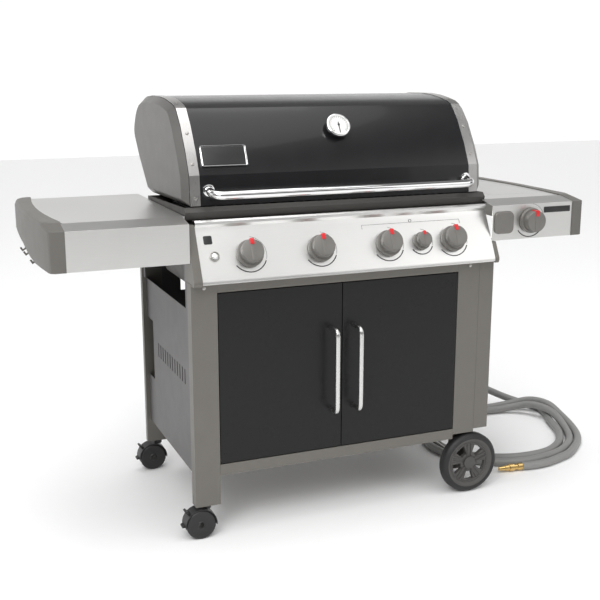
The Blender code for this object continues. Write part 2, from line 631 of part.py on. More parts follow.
def make_cookbox(casting):
    """The firebox: a tapered casting with two ledges inside, open above and at the drain."""
    left, right = COOKBOX_LEFT, COOKBOX_RIGHT
    inner_left, inner_right = left + 0.009, right - 0.009
    wall = 0.004
    ledge = 0.003
    drain_left, drain_right, drain_front, drain_back = DRAIN
    rim = COOKBOX_RIM
    rings = [
        rectangle(drain_left - wall, drain_right + wall, drain_front - wall, drain_back + wall,
                  COOKBOX_FLOOR, COOKBOX_FLOOR),
        rectangle(-0.400, 0.455, 0.125, 0.415, 0.700, 0.700),
        rectangle(left, right, 0.098, 0.440, 0.800, 0.800),
        rectangle(left, right, 0.088, 0.460, 0.890, 0.890),
        rectangle(left, right, 0.0625, 0.464, 0.903, 0.900),
        rectangle(left, right, 0.0575, 0.466, 0.9225, 0.915),
        rectangle(left, right, LID_FRONT, 0.466, rim, 0.922),
        rectangle(left + wall, right - wall, LID_FRONT + wall, 0.462, rim, 0.922),
        rectangle(inner_left, inner_right, 0.092, 0.456, GRATE_LEDGE, GRATE_LEDGE),
        rectangle(inner_left + ledge, inner_right - ledge, 0.107, 0.441, GRATE_LEDGE, GRATE_LEDGE),
        rectangle(inner_left + ledge, inner_right - ledge, 0.107, 0.441, BAR_LEDGE, BAR_LEDGE),
        rectangle(inner_left + 2 * ledge, inner_right - 2 * ledge, 0.122, 0.428, BAR_LEDGE, BAR_LEDGE),
        rectangle(inner_left + 2 * ledge, inner_right - 2 * ledge, 0.122, 0.428, 0.803, 0.803),
        rectangle(-0.395, 0.450, 0.131, 0.409, 0.704, 0.704),
        rectangle(drain_left, drain_right, drain_front, drain_back, COOKBOX_FLOOR, COOKBOX_FLOOR),
    ]
    box = loft("cookbox", rings, casting, endless=True)
    for x in BURNERS:
        bore(box, (x, 0.115, BURNER_HEIGHT), (0, 1, 0), BURNER_RADIUS + 0.0006, 0.09)
    hinge_y, hinge_z = LID_OPEN_HINGE
    for x in HINGE_X:
        ear = [(0.4605, 0.902)] + sector((hinge_y, hinge_z), 0.0, 0.009, -30.0, 150.0, 6)[:7]
        ear += [(0.4640, 0.9175)]
        join(box, prism("ear", ear, "x", x - 0.008, x - 0.004, casting))
        join(box, turned("pin", [(0.0, 0.0), (0.0, HINGE_PIN), (0.0135, HINGE_PIN), (0.0135, 0.0)],
                         (x - 0.0075, hinge_y, hinge_z), (1, 0, 0), casting, 16))
    for side, edge in ((-1, TRAY_LEFT), (1, TRAY_RIGHT)):
        hanger = [(edge - side * 0.014, TRAY_TOP - 0.0053), (edge + side * 0.0035, TRAY_TOP - 0.0053),
                  (edge + side * 0.0035, 0.6653), (edge + side * 0.0005, 0.6653),
                  (edge + side * 0.0005, TRAY_TOP - 0.0023), (edge - side * 0.014, TRAY_TOP - 0.0023)]
        join(box, prism("runner", hanger, "y", 0.205, 0.325, casting))


def make_grease_tray(steel):
    """Drip tray below the drain, with flanges that hang in two runners."""
    slide = pivot("grease_tray_slide", (0.025, 0.265, TRAY_TOP))
    tray = open_box("grease_tray", (TRAY_LEFT + 0.016, 0.170, 0.612), (TRAY_RIGHT - 0.016, 0.360, TRAY_TOP),
                    0.002, "+z", steel)
    for start, end in ((TRAY_LEFT, TRAY_LEFT + 0.017), (TRAY_RIGHT - 0.017, TRAY_RIGHT)):
        join(tray, block("flange", (start, 0.170, TRAY_TOP - 0.002), (end, 0.360, TRAY_TOP), steel))
    hang(tray, slide)


def make_burners(steel):
    """Tube burners, closed at the back, whose open fronts pass through the cookbox wall."""
    front = 0.072
    length = 0.348
    inner = BURNER_RADIUS - 0.0015
    profile = [(length - 0.002, 0.0), (length - 0.002, inner), (0.0, inner), (0.0, BURNER_RADIUS),
               (length, BURNER_RADIUS), (length, 0.0)]
    for index, x in enumerate(BURNERS):
        name = f"main_burner_{index + 1}" if index < len(KNOB_X) else "sear_burner"
        turned(name, profile, (x, front, BURNER_HEIGHT), (0, 1, 0), steel, 16)


def make_heat_bars(steel):
    """Five inverted V bars over the burners, on two strips that rest on the lower ledge."""
    low = BAR_LEDGE + GAP
    bars = block("heat_bars", (COOKBOX_LEFT + 0.015, 0.1085, low), (COOKBOX_RIGHT - 0.015, 0.1205, low + SHEET), steel)
    join(bars, block("strip", (COOKBOX_LEFT + 0.015, 0.4295, low), (COOKBOX_RIGHT - 0.015, 0.4395, low + SHEET), steel))
    for x in BURNERS:
        outline = [(x - 0.040, low), (x, low + 0.030), (x + 0.040, low), (x + 0.037, low),
                   (x, low + 0.0277), (x - 0.037, low)]
        join(bars, prism("bar", outline, "y", 0.110, 0.438, steel))


def make_grates(iron):
    """Two slotted grates that lie side by side on the upper ledge."""
    middle = (COOKBOX_LEFT + COOKBOX_RIGHT) / 2
    low = GRATE_LEDGE + GAP
    thick = 0.010
    for name, start, end in (("cooking_grate_left", COOKBOX_LEFT + 0.0105, middle - 0.0015),
                             ("cooking_grate_right", middle + 0.0015, COOKBOX_RIGHT - 0.0105)):
        grate = block(name, (start, 0.0935, low), (end, 0.4545, low + thick), iron)
        bar = 0.008
        count = 16
        pitch = (end - start - bar) / count
        cut(grate, boxes("slots", [((start + bar + pitch * step, 0.1085, low - 0.01),
                                    (start + pitch * (step + 1), 0.4395, low + 0.02))
                                   for step in range(count)], iron))


def panel_point(height, off=0.0):
    """Point on the slanted panel face as (y, z), moved out along its normal."""
    rise = PANEL_TOP[1] - PANEL_FOOT[1]
    run = PANEL_TOP[0] - PANEL_FOOT[0]
    y = PANEL_FOOT[0] + (height - PANEL_FOOT[1]) * run / rise
    return (y + PANEL_NORMAL[1] * off, height + PANEL_NORMAL[2] * off)


PANEL_NORMAL = Vector((0.0, PANEL_FOOT[1] - PANEL_TOP[1], PANEL_TOP[0] - PANEL_FOOT[0])).normalized()
PANEL_UP = Vector((0.0, PANEL_TOP[0] - PANEL_FOOT[0], PANEL_TOP[1] - PANEL_FOOT[1])).normalized()
VALVE_REACH = 0.030           # panel face to the valve behind it
IGNITER_RADIUS = 0.009


def make_control_panel(steel, plastic, side_panel):
    """Folded panel with a rolled top edge and a slanted face, and a cap at each end."""
    lip = LEG_TOP + GAP
    path = [(0.020, lip), (-0.0300, lip), (-0.0330, 0.7425), PANEL_FOOT, PANEL_TOP, (0.0330, 0.8840),
            (0.0290, 0.8925), (0.0305, 0.8990), (0.0360, 0.9030), (0.0540, 0.9020)]
    panel = folded("control_panel", path, -PANEL_SHEET, "x", PANEL_LEFT, PANEL_RIGHT, steel)
    for x in (*KNOB_X, SEAR_KNOB_X):
        bore(panel, (x, *panel_point(KNOB_HEIGHT)), PANEL_NORMAL, KNOB_SHAFT + RUNNING, 0.02, 12)
    bore(panel, (IGNITER_X, *panel_point(KNOB_HEIGHT)), PANEL_NORMAL, IGNITER_RADIUS + RUNNING, 0.02, 16)

    cap_top = [(-0.0335, 0.7515), (0.0262, 0.8735), (0.0300, 0.8840), (0.0340, 0.8920), (0.0520, 0.8920)]
    foot = [(0.0520, LEG_TOP - 0.0037), (-0.0305, LEG_TOP - 0.0037), (-0.0345, 0.7435)]
    cap = prism("panel_cap_left", foot + cap_top, "x", CABINET_LEFT + 0.0004, PANEL_LEFT - GAP, plastic)
    cut(cap, block("notch", (CABINET_LEFT - 0.01, -0.004, 0.72), (PANEL_LEFT + 0.01, 0.06, LEG_TOP + GAP), plastic))
    level = TABLE_UNDER - 0.0012
    cap_low = [(-0.0335, 0.7515), (panel_point(level, 0.0012)[0], level), (0.0520, level)]
    right_cap = prism("cap", foot + cap_low, "x", PANEL_RIGHT + GAP, CABINET_RIGHT - SHEET - 0.0014, plastic)
    cut(right_cap, block("notch", (0.40, -0.004, 0.72), (CABINET_RIGHT, 0.012, LEG_TOP - GAP - 0.001), plastic))
    cut(right_cap, block("notch", (0.40, 0.010, 0.72), (CABINET_RIGHT, 0.06, LEG_TOP + GAP), plastic))
    join(side_panel, right_cap)


def make_gas_manifold(brass):
    """The manifold with its valves and orifices, and the supply line out through the back panel."""
    y, z = MANIFOLD
    end = 0.470
    line = turned("gas_manifold", [(0.0, 0.0), (0.0, MANIFOLD_RADIUS), (0.780, MANIFOLD_RADIUS), (0.780, 0.0)],
                  (-0.330, y, z), (1, 0, 0), brass, 16)
    for x in BURNERS:
        start = Vector((x, *panel_point(KNOB_HEIGHT, -VALVE_REACH - GAP)))
        join(line, turned("valve", [(0.0, 0.0), (0.0, 0.0118), (0.026, 0.0118), (0.026, 0.0)],
                          start, -PANEL_NORMAL, brass, 14))
        join(line, turned("orifice", [(0.0, 0.0), (0.0, 0.0088), (0.026, 0.0088), (0.026, 0.0)],
                          (x, y + 0.003, z), (0, 1, 0), brass, 14))
    back = REAR_LEG_FACE + SHEET
    route = [(0.440, y, z), (end, y, z), (end, y, 0.450), (end, 0.510, 0.450), (HOSE_INLET[0], 0.510, HOSE_INLET[1]),
             (HOSE_INLET[0], back + 0.010, HOSE_INLET[1])]
    join(line, pipe("supply", route, SUPPLY_RADIUS, brass, 10))
    start = (HOSE_INLET[0], back + 0.0008, HOSE_INLET[1])
    corner = (HOSE_INLET[0], HOSE_ROUTE[0][1], HOSE_INLET[1])
    finish = (HOSE_ROUTE[0][0] - GAP, HOSE_ROUTE[0][1], HOSE_ROUTE[0][2])
    join(line, pipe("elbow", [start, corner, finish], 0.0125, brass, 12))


# ---------------------------------------------------------------- side tables
BEVEL_EDGE = TABLE_UNDER + TABLE_FACE
BEVEL_BACK = 0.057
TABLE_END = 0.7903
LEFT_TABLE_START = LEFT_FRAME_X - GAP
RIGHT_TABLE_START = CABINET_RIGHT - SHEET
RIGHT_FACE_START = PANEL_RIGHT + 0.0006


def table_sheet(name, low, high, steel):
    path = [(TABLE_BACK, 0.870), (TABLE_BACK, TABLE_HEIGHT), (BEVEL_BACK, TABLE_HEIGHT),
            (TABLE_FRONT, BEVEL_EDGE), (TABLE_FRONT, TABLE_UNDER), (0.020, TABLE_UNDER)]
    return folded(name, path, SHEET, "x", low, high, steel)


def cap_border(y):
    """Distance from the middle of the grill to the seam between a steel top and its end cap."""
    return 0.7885 - 0.295 * (y - 0.340) ** 2


def trim_top(table, side, steel):
    """Ends a table's flat top at its seam with the end cap."""
    stations = [BEVEL_BACK + 0.001 + 0.075 * step for step in range(8)]
    outline = [(side * (cap_border(y) - GAP), y) for y in stations]
    outline += [(side * (TABLE_END + 0.01), stations[-1]), (side * (TABLE_END + 0.01), stations[0])]
    cut(table, prism("trim", outline, "z", TABLE_HEIGHT - SHEET - 0.0005, TABLE_HEIGHT + 0.01, steel))


def make_left_table(steel):
    table = table_sheet("left_table", -TABLE_END, LEFT_TABLE_START, steel)
    trim_top(table, -1, steel)
    cut(table, block("notch", (CABINET_LEFT - 0.0015, -0.05, 0.7), (LEFT_TABLE_START + 0.01, 0.0555, 1.0), steel))
    join(table, block("flange", (LEFT_TABLE_START - SHEET, BEVEL_BACK + 0.0005, 0.820),
                      (LEFT_TABLE_START, REAR_LEG_FACE - 2 * GAP, TABLE_HEIGHT - 0.001), steel))


def make_right_table(steel):
    table = table_sheet("right_table", RIGHT_FACE_START, TABLE_END, steel)
    trim_top(table, 1, steel)
    cut(table, block("notch", (RIGHT_FACE_START - 0.01, 0.0555, 0.7), (RIGHT_TABLE_START, TABLE_BACK + 0.05, 1.0), steel))
    join(table, block("flange", (RIGHT_TABLE_START, BEVEL_BACK + 0.0005, 0.820),
                      (RIGHT_TABLE_START + SHEET, REAR_LEG_FACE - 2 * GAP, TABLE_HEIGHT - 0.001), steel))
    left, right, front, back = BURNER_LID
    side = 0.0012
    cut(table, block("burner_opening", (left - side, front - side, TABLE_HEIGHT - 0.01),
                     (right + side, back + 2 * LID_ROD + 2 * GAP, TABLE_HEIGHT + 0.01), steel))
    bore(table, (SIDE_KNOB[0], TABLE_FRONT, SIDE_KNOB[1]), (0, 1, 0), KNOB_SHAFT + RUNNING, 0.02, 12)
    hole = rounded_rectangle(SIDE_BUTTON, SIDE_BUTTON_SIZE + 0.001, SIDE_BUTTON_SIZE + 0.001, 0.0155)
    cut(table, prism("button_hole", hole, "y", TABLE_FRONT - 0.01, TABLE_FRONT + 0.01, steel))


LID_ROD = 0.0012


def cap_outline(inset, front):
    """Plan of the right end cap: the outer curve moved in by `inset`, its front edge at `front`."""
    points = [(CAP_BORDER, front), (0.7985 - inset, front), (0.8085 - inset, front + 0.005),
              (0.8125 - inset, front + 0.016)]
    for step in range(8):
        y = 0.085 + 0.069 * step
        points.append((TABLE_REACH - 0.158 * (y - 0.335) ** 2 - inset, y))
    back = TABLE_BACK + 0.027
    points += [(0.8165 - inset, back - 0.018), (0.8080 - inset, back - 0.005), (0.7950 - inset, back),
               (CAP_BORDER, back)]
    for step in range(8):
        y = 0.592 - 0.074 * step
        points.append((cap_border(y), y))
    return points


def make_table_cap(name, side, plastic, hooks=None):
    """Curved end cap that laps over the steel; the left one carries the tool hooks."""
    top = TABLE_HEIGHT + GAP + CAP_LIP
    face = TABLE_FRONT - CAP_LIP
    levels = [(TABLE_UNDER, 0.0, face), (BEVEL_EDGE, 0.0, face), (0.9105, 0.003, 0.036), (0.9145, 0.007, 0.054),
              (top, 0.014, 0.062)]
    rings = []
    for level, inset, front in levels:
        rings.append([(side * x, y, level) for x, y in cap_outline(inset, front)])
    cap = loft(name, rings, plastic)
    lip = GAP
    envelope = [(TABLE_FRONT - lip, 0.70), (TABLE_FRONT - lip, BEVEL_EDGE + lip), (BEVEL_BACK - lip, TABLE_HEIGHT + lip),
                (TABLE_BACK + lip, TABLE_HEIGHT + lip), (TABLE_BACK + lip, 0.70)]
    ends = sorted((side * 0.70, side * (TABLE_END + lip)))
    cut(cap, prism("steel", envelope, "x", *ends, plastic))
    ends = sorted((side * (TABLE_END - 0.01), side * 0.8058))
    cut(cap, block("hollow", (ends[0], 0.030, 0.70), (ends[1], 0.560, 0.900), plastic))
    rise = [(0.170, 0.70), (0.170, TABLE_UNDER), (0.250, 0.805), (0.350, 0.821), (0.530, 0.832),
            (0.640, 0.836), (0.640, 0.70)]
    ends = sorted((side * 0.70, side * 0.90))
    cut(cap, prism("rise", rise, "x", *ends, plastic))
    if hooks:
        rail_x = side * 0.8045
        low, high = sorted((rail_x - 0.0020, rail_x + 0.0020))
        join(cap, block("rail", (low, 0.262, 0.795), (high, 0.522, 0.835), plastic))
        for y in hooks:
            join(cap, pipe("hook", [(rail_x, y, 0.812), (rail_x, y, 0.779), (rail_x + side * 0.010, y, 0.773),
                                    (rail_x + side * 0.016, y, 0.782)], 0.0028, plastic, 8))


def make_side_burner(steel, iron):
    """Bowl with its flange under the table top, burner ring and pan grate."""
    left, right, front, back = BURNER_LID
    rim = TABLE_HEIGHT - SHEET - GAP
    low = (left + 0.013, front + 0.014, 0.845)
    high = (right - 0.013, back - 0.014, rim)
    bowl = open_box("side_burner", low, high, 0.002, "+z", steel)
    flange = block("flange", (left - 0.007, front - 0.006, rim - SHEET), (right + 0.007, back + 0.008, rim), steel)
    cut(flange, block("mouth", (low[0] + 0.001, low[1] + 0.001, 0.8), (high[0] - 0.001, high[1] - 0.001, 1.0), steel))
    join(bowl, flange)
    middle = ((left + right) / 2, (front + back) / 2)
    ring = [(0.0, 0.0), (0.0, 0.018), (0.018, 0.020), (0.022, 0.042), (0.032, 0.042), (0.034, 0.034), (0.034, 0.0)]
    join(bowl, turned("ring", ring, (*middle, 0.8465), (0, 0, 1), steel, 20))

    low_bar, high_bar = 0.8915, 0.9005
    inner = (low[0] + 0.002 + GAP, high[0] - 0.002 - GAP, low[1] + 0.002 + GAP, high[1] - 0.002 - GAP)
    grate = block("side_burner_grate", (inner[0], middle[1] - 0.045, low_bar), (inner[1], middle[1] - 0.037, high_bar), iron)
    join(grate, block("bar", (inner[0], middle[1] + 0.037, low_bar), (inner[1], middle[1] + 0.045, high_bar), iron))
    for x in (middle[0] - 0.041, middle[0] + 0.033):
        join(grate, block("bar", (x, inner[2], low_bar), (x + 0.008, inner[3], high_bar), iron))


def make_side_burner_lid(steel):
    """Flat lid flush with the table, on a rod along its back edge."""
    left, right, front, back = BURNER_LID
    level = TABLE_HEIGHT - SHEET / 2
    axis = pivot("side_burner_lid_axis", ((left + right) / 2, back + LID_ROD, level))
    lid = block("side_burner_lid", (left, front, TABLE_HEIGHT - SHEET), (right, back, TABLE_HEIGHT), steel)
    length = right - left + 0.0016
    join(lid, turned("rod", [(0.0, 0.0), (0.0, LID_ROD), (length, LID_ROD), (length, 0.0)],
                     (left - 0.0008, back + LID_ROD - 0.0004, level), (1, 0, 0), steel, 12))
    hang(lid, axis)


# ---------------------------------------------------------------- knobs and buttons
def make_knob(name, centre, normal, up, radius, reach, plastic):
    """A round knob on its own shaft, with a pointer rib that stands at the top when it is off."""
    normal = Vector(normal)
    up = Vector(up)
    axis = pivot(name + "_axis", centre)
    length = KNOB_LENGTH * (0.55 + 0.45 * radius / KNOB_RADIUS)
    profile = [(-reach, 0.0), (-reach, KNOB_SHAFT), (0.0008, KNOB_SHAFT), (0.0008, radius * 0.96),
               (0.004, radius), (length * 0.55, radius * 0.95), (length * 0.64, radius * 0.88),
               (length * 0.96, radius * 0.82), (length, radius * 0.76), (length, 0.0)]
    knob = turned(name, profile, centre, normal, plastic, 24)
    rib = Vector(centre) + normal * (length * 0.80) + up * (radius * 0.60)
    join(knob, slab("rib", rib, (normal.cross(up), up, normal),
                    (radius * 0.22, radius * 0.50, length * 0.46), plastic))
    hang(knob, axis)


def make_controls(plastic, button_plastic):
    for index, x in enumerate(KNOB_X):
        make_knob(f"burner_knob_{index + 1}", (x, *panel_point(KNOB_HEIGHT)), PANEL_NORMAL, PANEL_UP,
                  KNOB_RADIUS, VALVE_REACH, plastic)
    make_knob("sear_knob", (SEAR_KNOB_X, *panel_point(KNOB_HEIGHT)), PANEL_NORMAL, PANEL_UP,
              SMALL_KNOB_RADIUS, VALVE_REACH, plastic)
    make_knob("side_burner_knob", (SIDE_KNOB[0], TABLE_FRONT, SIDE_KNOB[1]), (0, -1, 0), (0, 0, 1),
              KNOB_RADIUS, 0.020, plastic)

    centre = (IGNITER_X, *panel_point(KNOB_HEIGHT))
    button = turned("igniter_button", [(-0.014, 0.0), (-0.014, IGNITER_RADIUS), (0.006, IGNITER_RADIUS),
                                       (0.008, IGNITER_RADIUS - 0.002), (0.008, 0.0)],
                    centre, PANEL_NORMAL, button_plastic, 20)
    hang(button, pivot("igniter_button_slide", centre))

    outer = rounded_rectangle(SIDE_BUTTON, SIDE_BUTTON_SIZE, SIDE_BUTTON_SIZE, 0.015)
    inner = rounded_rectangle(SIDE_BUTTON, SIDE_BUTTON_SIZE - 0.008, SIDE_BUTTON_SIZE - 0.008, 0.012)
    rings = []
    for outline, depth in ((outer, 0.012), (outer, -0.005), (inner, -0.008)):
        rings.append([(x, TABLE_FRONT + depth, z) for x, z in outline])
    push = loft("side_igniter_button", rings, plastic)
    hang(push, pivot("side_igniter_button_slide", (SIDE_BUTTON[0], TABLE_FRONT, SIDE_BUTTON[1])))


# ---------------------------------------------------------------- lid
SHELL_LEFT = LID_LEFT + LID_CAP + GAP
SHELL_RIGHT = LID_RIGHT - LID_CAP - GAP
THERMOMETER = (0.038, 1.131)  # x and z of the thermometer's middle
THERMOMETER_RADIUS = 0.036
HANDLE_X = (-0.364, 0.429)
HANDLE_HEIGHT = 0.9785
LID_HANDLE_RADIUS = 0.0120


def lid_front(height, off=0.0):
    """Point on the lid's front at a height as (y, z), moved out along the surface's normal."""
    for first, second in zip(LID_OUTLINE, LID_OUTLINE[1:]):
        if first[1] <= height <= second[1]:
            share = (height - first[1]) / (second[1] - first[1])
            along = (Vector(second) - Vector(first)).normalized()
            return (first[0] + (second[0] - first[0]) * share - along.y * off, height + along.x * off)
    return LID_OUTLINE[0]


def make_lid(enamel, casting, steel, chrome, dial):
    """The lid with its end castings, trim strips, handle and thermometer, on one hinge axis."""
    hinge = pivot("lid_axis", (0.0, *LID_OPEN_HINGE))
    shell = folded("lid_shell", LID_OUTLINE, -LID_SHEET, "x", SHELL_LEFT, SHELL_RIGHT, enamel)
    hinge_y, hinge_z = LID_OPEN_HINGE
    foot = Vector(LID_OUTLINE[-1])
    slope = (Vector(LID_OUTLINE[-2]) - foot).normalized()
    out = Vector((slope.y, -slope.x))
    for x in HINGE_X:
        arm = [foot + slope * 0.004 - out * 0.001, foot + slope * 0.055 - out * 0.001, foot + slope * 0.055 + out * 0.004,
               foot + slope * 0.022 + out * 0.0200, foot + slope * 0.010 + out * 0.0205,
               foot + slope * -0.004 + out * 0.017, foot + slope * -0.004 + out * 0.008]
        join(shell, prism("arm", arm, "x", x, x + 0.004, enamel))
        bore(shell, (x + 0.002, hinge_y, hinge_z), (1, 0, 0), HINGE_PIN + RUNNING, 0.02)
    hang(shell, hinge)

    for name, inner, side in (("lid_cap_left", LID_LEFT + LID_CAP, -1), ("lid_cap_right", LID_RIGHT - LID_CAP, 1)):
        rings = []
        for depth, inset in ((LID_CAP - 0.004, 0.021), (0.0, 0.0050), (0.0, 0.0), (LID_CAP, 0.018)):
            outline = shift_path(LID_OUTLINE, -inset, closed=True)
            rings.append([(inner + side * depth, point.x, point.y) for point in outline])
        hang(loft(name, rings, casting), hinge)

    reach = LID_OUTLINE[:13]
    strip_low = shift_path(reach, GAP)
    strip_high = shift_path(reach, GAP + TRIM_SHEET)
    for name, start in (("lid_trim_left", SHELL_LEFT), ("lid_trim_right", SHELL_RIGHT - TRIM_WIDTH)):
        strip = prism(name, strip_low + list(reversed(strip_high)), "x", start, start + TRIM_WIDTH, steel)
        hang(strip, hinge)

    y, z = lid_front(HANDLE_HEIGHT, GAP)
    root = lid_front(HANDLE_HEIGHT, 0.004)
    route = [(HANDLE_X[0], *root), (HANDLE_X[0] + 0.001, 0.048, 0.9745), (HANDLE_X[0] + 0.010, 0.030, 0.9705),
             (HANDLE_X[0] + 0.032, 0.020, 0.9690), (HANDLE_X[1] - 0.032, 0.020, 0.9690),
             (HANDLE_X[1] - 0.010, 0.030, 0.9705), (HANDLE_X[1] - 0.001, 0.048, 0.9745), (HANDLE_X[1], *root)]
    handle = pipe("lid_handle", route, LID_HANDLE_RADIUS, chrome, 12)
    for x in HANDLE_X:
        join(handle, turned("mount", [(0.0, 0.0), (0.0, 0.0165), (0.004, 0.0165), (0.006, 0.0145), (0.006, 0.0)],
                            (x, y, z), (0, -0.9967, 0.081), chrome, 20))
    hang(handle, hinge)

    low = Vector(lid_front(1.100))
    high = Vector(lid_front(1.140))
    along = (high - low).normalized()
    normal = Vector((0.0, -along.y, along.x))
    centre = Vector((THERMOMETER[0], *lid_front(THERMOMETER[1])))
    rim = THERMOMETER_RADIUS
    profile = [(GAP, 0.0), (GAP, 0.019), (0.008, 0.021), (0.013, rim), (0.022, rim), (0.024, rim - 0.003),
               (0.0215, rim - 0.0045), (0.0215, 0.0)]
    hang(turned("thermometer", profile, centre, normal, dial, 32), hinge)
    needle_axis = pivot("thermometer_needle_axis", centre + normal * 0.022)
    needle_up = Vector((0.0, along.x, along.y))
    needle = slab("thermometer_needle", centre + normal * 0.0225 - needle_up * 0.008,
                  (Vector((1.0, 0.0, 0.0)), needle_up, normal), (0.0024, 0.034, 0.0012), casting)
    hang(needle, needle_axis)


# ---------------------------------------------------------------- doors
def make_door(name, side, paint, chrome):
    """A pan-shaped door with its hinge pin and bar handle; side is -1 for the left one."""
    pin = door_pin_place(side)
    hinge = pivot(name + "_axis", (*pin, DOOR_SILL))
    edge = (LEFT_LEG_INNER + DOOR_GAP) if side < 0 else (RIGHT_LEG_INNER - DOOR_GAP)
    ends = sorted((edge, side * 0.0013))
    low = (ends[0], 0.0, DOOR_SILL + 0.0030)
    high = (ends[1], DOOR_DEPTH, DOOR_HEAD - 0.0030)
    door = open_box(name, low, high, DOOR_SHEET, "+y", paint)
    reach = SHEET + 0.0026
    length = high[2] - low[2] + 2 * reach
    join(door, turned("pin", [(0.0, 0.0), (0.0, DOOR_PIN), (length, DOOR_PIN), (length, 0.0)],
                      (*pin, low[2] - reach), (0, 0, 1), paint, 12))
    hang(door, hinge)

    x = side * 0.0365
    top = HANDLE_TOP
    foot = HANDLE_TOP - HANDLE_LENGTH
    out = -HANDLE_STANDOFF
    bend = 0.011
    route = [(x, -GAP, top - HANDLE_RADIUS), (x, out + bend, top - HANDLE_RADIUS),
             (x, out + bend * 0.3, top - HANDLE_RADIUS - bend * 0.3), (x, out, top - HANDLE_RADIUS - bend),
             (x, out, foot + HANDLE_RADIUS + bend), (x, out + bend * 0.3, foot + HANDLE_RADIUS + bend * 0.3),
             (x, out + bend, foot + HANDLE_RADIUS), (x, -GAP, foot + HANDLE_RADIUS)]
    hang(pipe(name + "_handle", route, HANDLE_RADIUS, chrome, 12), hinge)


# ---------------------------------------------------------------- hose
def make_hose(grey, brass):
    """The gas hose on the floor and the brass fitting at its free end."""
    points = smooth_line(HOSE_ROUTE, 0.064)
    for point in points:
        point.z = max(point.z, HOSE_RADIUS + GAP)
    curve = bpy.data.curves.new("gas_hose", "CURVE")
    curve.dimensions = "3D"
    curve.bevel_depth = HOSE_RADIUS
    curve.bevel_resolution = 2
    curve.use_fill_caps = True
    line = curve.splines.new("POLY")
    line.points.add(len(points) - 1)
    for spot, point in zip(line.points, points):
        spot.co = (*point, 1.0)
    curve.materials.append(grey)
    bpy.context.scene.collection.objects.link(bpy.data.objects.new("gas_hose", curve))

    end = points[-1]
    along = (end - points[-2]).normalized()
    profile = [(0.0, 0.0), (0.0, 0.0120), (0.016, 0.0120), (0.018, 0.0090), (0.030, 0.0090), (0.031, 0.0125),
               (0.047, 0.0125), (0.048, 0.0095), (0.062, 0.0095), (0.063, 0.0075), (FITTING_LENGTH, 0.0065),
               (FITTING_LENGTH, 0.0)]
    turned("hose_fitting", profile, end + along * GAP, along, brass, 12)


def clear_scene():
    for body in list(bpy.data.objects):
        bpy.data.objects.remove(body)


def main():
    clear_scene()
    frame_paint = look("frame_paint", (0.155, 0.147, 0.130), 0.45, 0.3)
    side_paint = look("side_paint", (0.115, 0.110, 0.112), 0.50, 0.3)
    door_paint = look("door_paint", (0.018, 0.018, 0.018), 0.35)
    steel = look("brushed_steel", (0.620, 0.620, 0.610), 0.30, 1.0)
    chrome = look("chrome", (0.850, 0.850, 0.850), 0.08, 1.0)
    enamel = look("black_enamel", (0.020, 0.020, 0.021), 0.15)
    casting = look("grey_casting", (0.160, 0.155, 0.150), 0.45, 0.2)
    firebox = look("cookbox_casting", (0.060, 0.058, 0.056), 0.55, 0.3)
    plastic = look("warm_grey_plastic", (0.140, 0.133, 0.120), 0.50)
    black = look("black_plastic", (0.020, 0.020, 0.020), 0.50)
    iron = look("cast_iron", (0.030, 0.029, 0.028), 0.60, 0.4)
    brass = look("brass", (0.780, 0.570, 0.260), 0.25, 1.0)
    hose = look("grey_rubber", (0.210, 0.210, 0.205), 0.55)
    dial = look("dial", (0.800, 0.800, 0.780), 0.20, 0.5)

    make_left_legs(frame_paint)
    make_right_legs(frame_paint)
    make_cabinet(frame_paint, side_paint)
    make_left_side_panel(side_paint)
    side_panel = make_right_side_panel(frame_paint)
    make_side_frames(side_paint)
    make_wheel("front_wheel", WHEEL_FRONT, 1, FRONT_BRACKET_Y, black)
    make_wheel("rear_wheel", REAR_WHEEL_FACE, -1, REAR_BRACKET_Y + BRACKET, black)
    make_axle(steel)
    make_caster("front_caster", FRONT_CASTER_Y, black)
    make_caster("rear_caster", REAR_CASTER_Y, black)
    make_cookbox(firebox)
    make_grease_tray(steel)
    make_burners(steel)
    make_heat_bars(steel)
    make_grates(iron)
    make_control_panel(steel, frame_paint, side_panel)
    make_gas_manifold(brass)
    make_left_table(steel)
    make_right_table(steel)
    make_table_cap("left_table_cap", -1, plastic, hooks=(0.289, 0.4275, 0.5025))
    make_table_cap("right_table_cap", 1, plastic)
    make_side_burner(steel, iron)
    make_side_burner_lid(steel)
    make_controls(plastic, black)
    make_lid(enamel, casting, steel, chrome, dial)
    make_door("left_door", -1, door_paint, chrome)
    make_door("right_door", 1, door_paint, chrome)
    make_hose(hose, brass)

    for body in bpy.data.objects:
        if body.parent is None:
            body.location.y += FRONT_TO_MIDDLE


main()
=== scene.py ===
"""Gas barbecue grill: finishes and fine detail built around its CAD frame."""
import json
import math

import bpy
from mathutils import Matrix, Vector


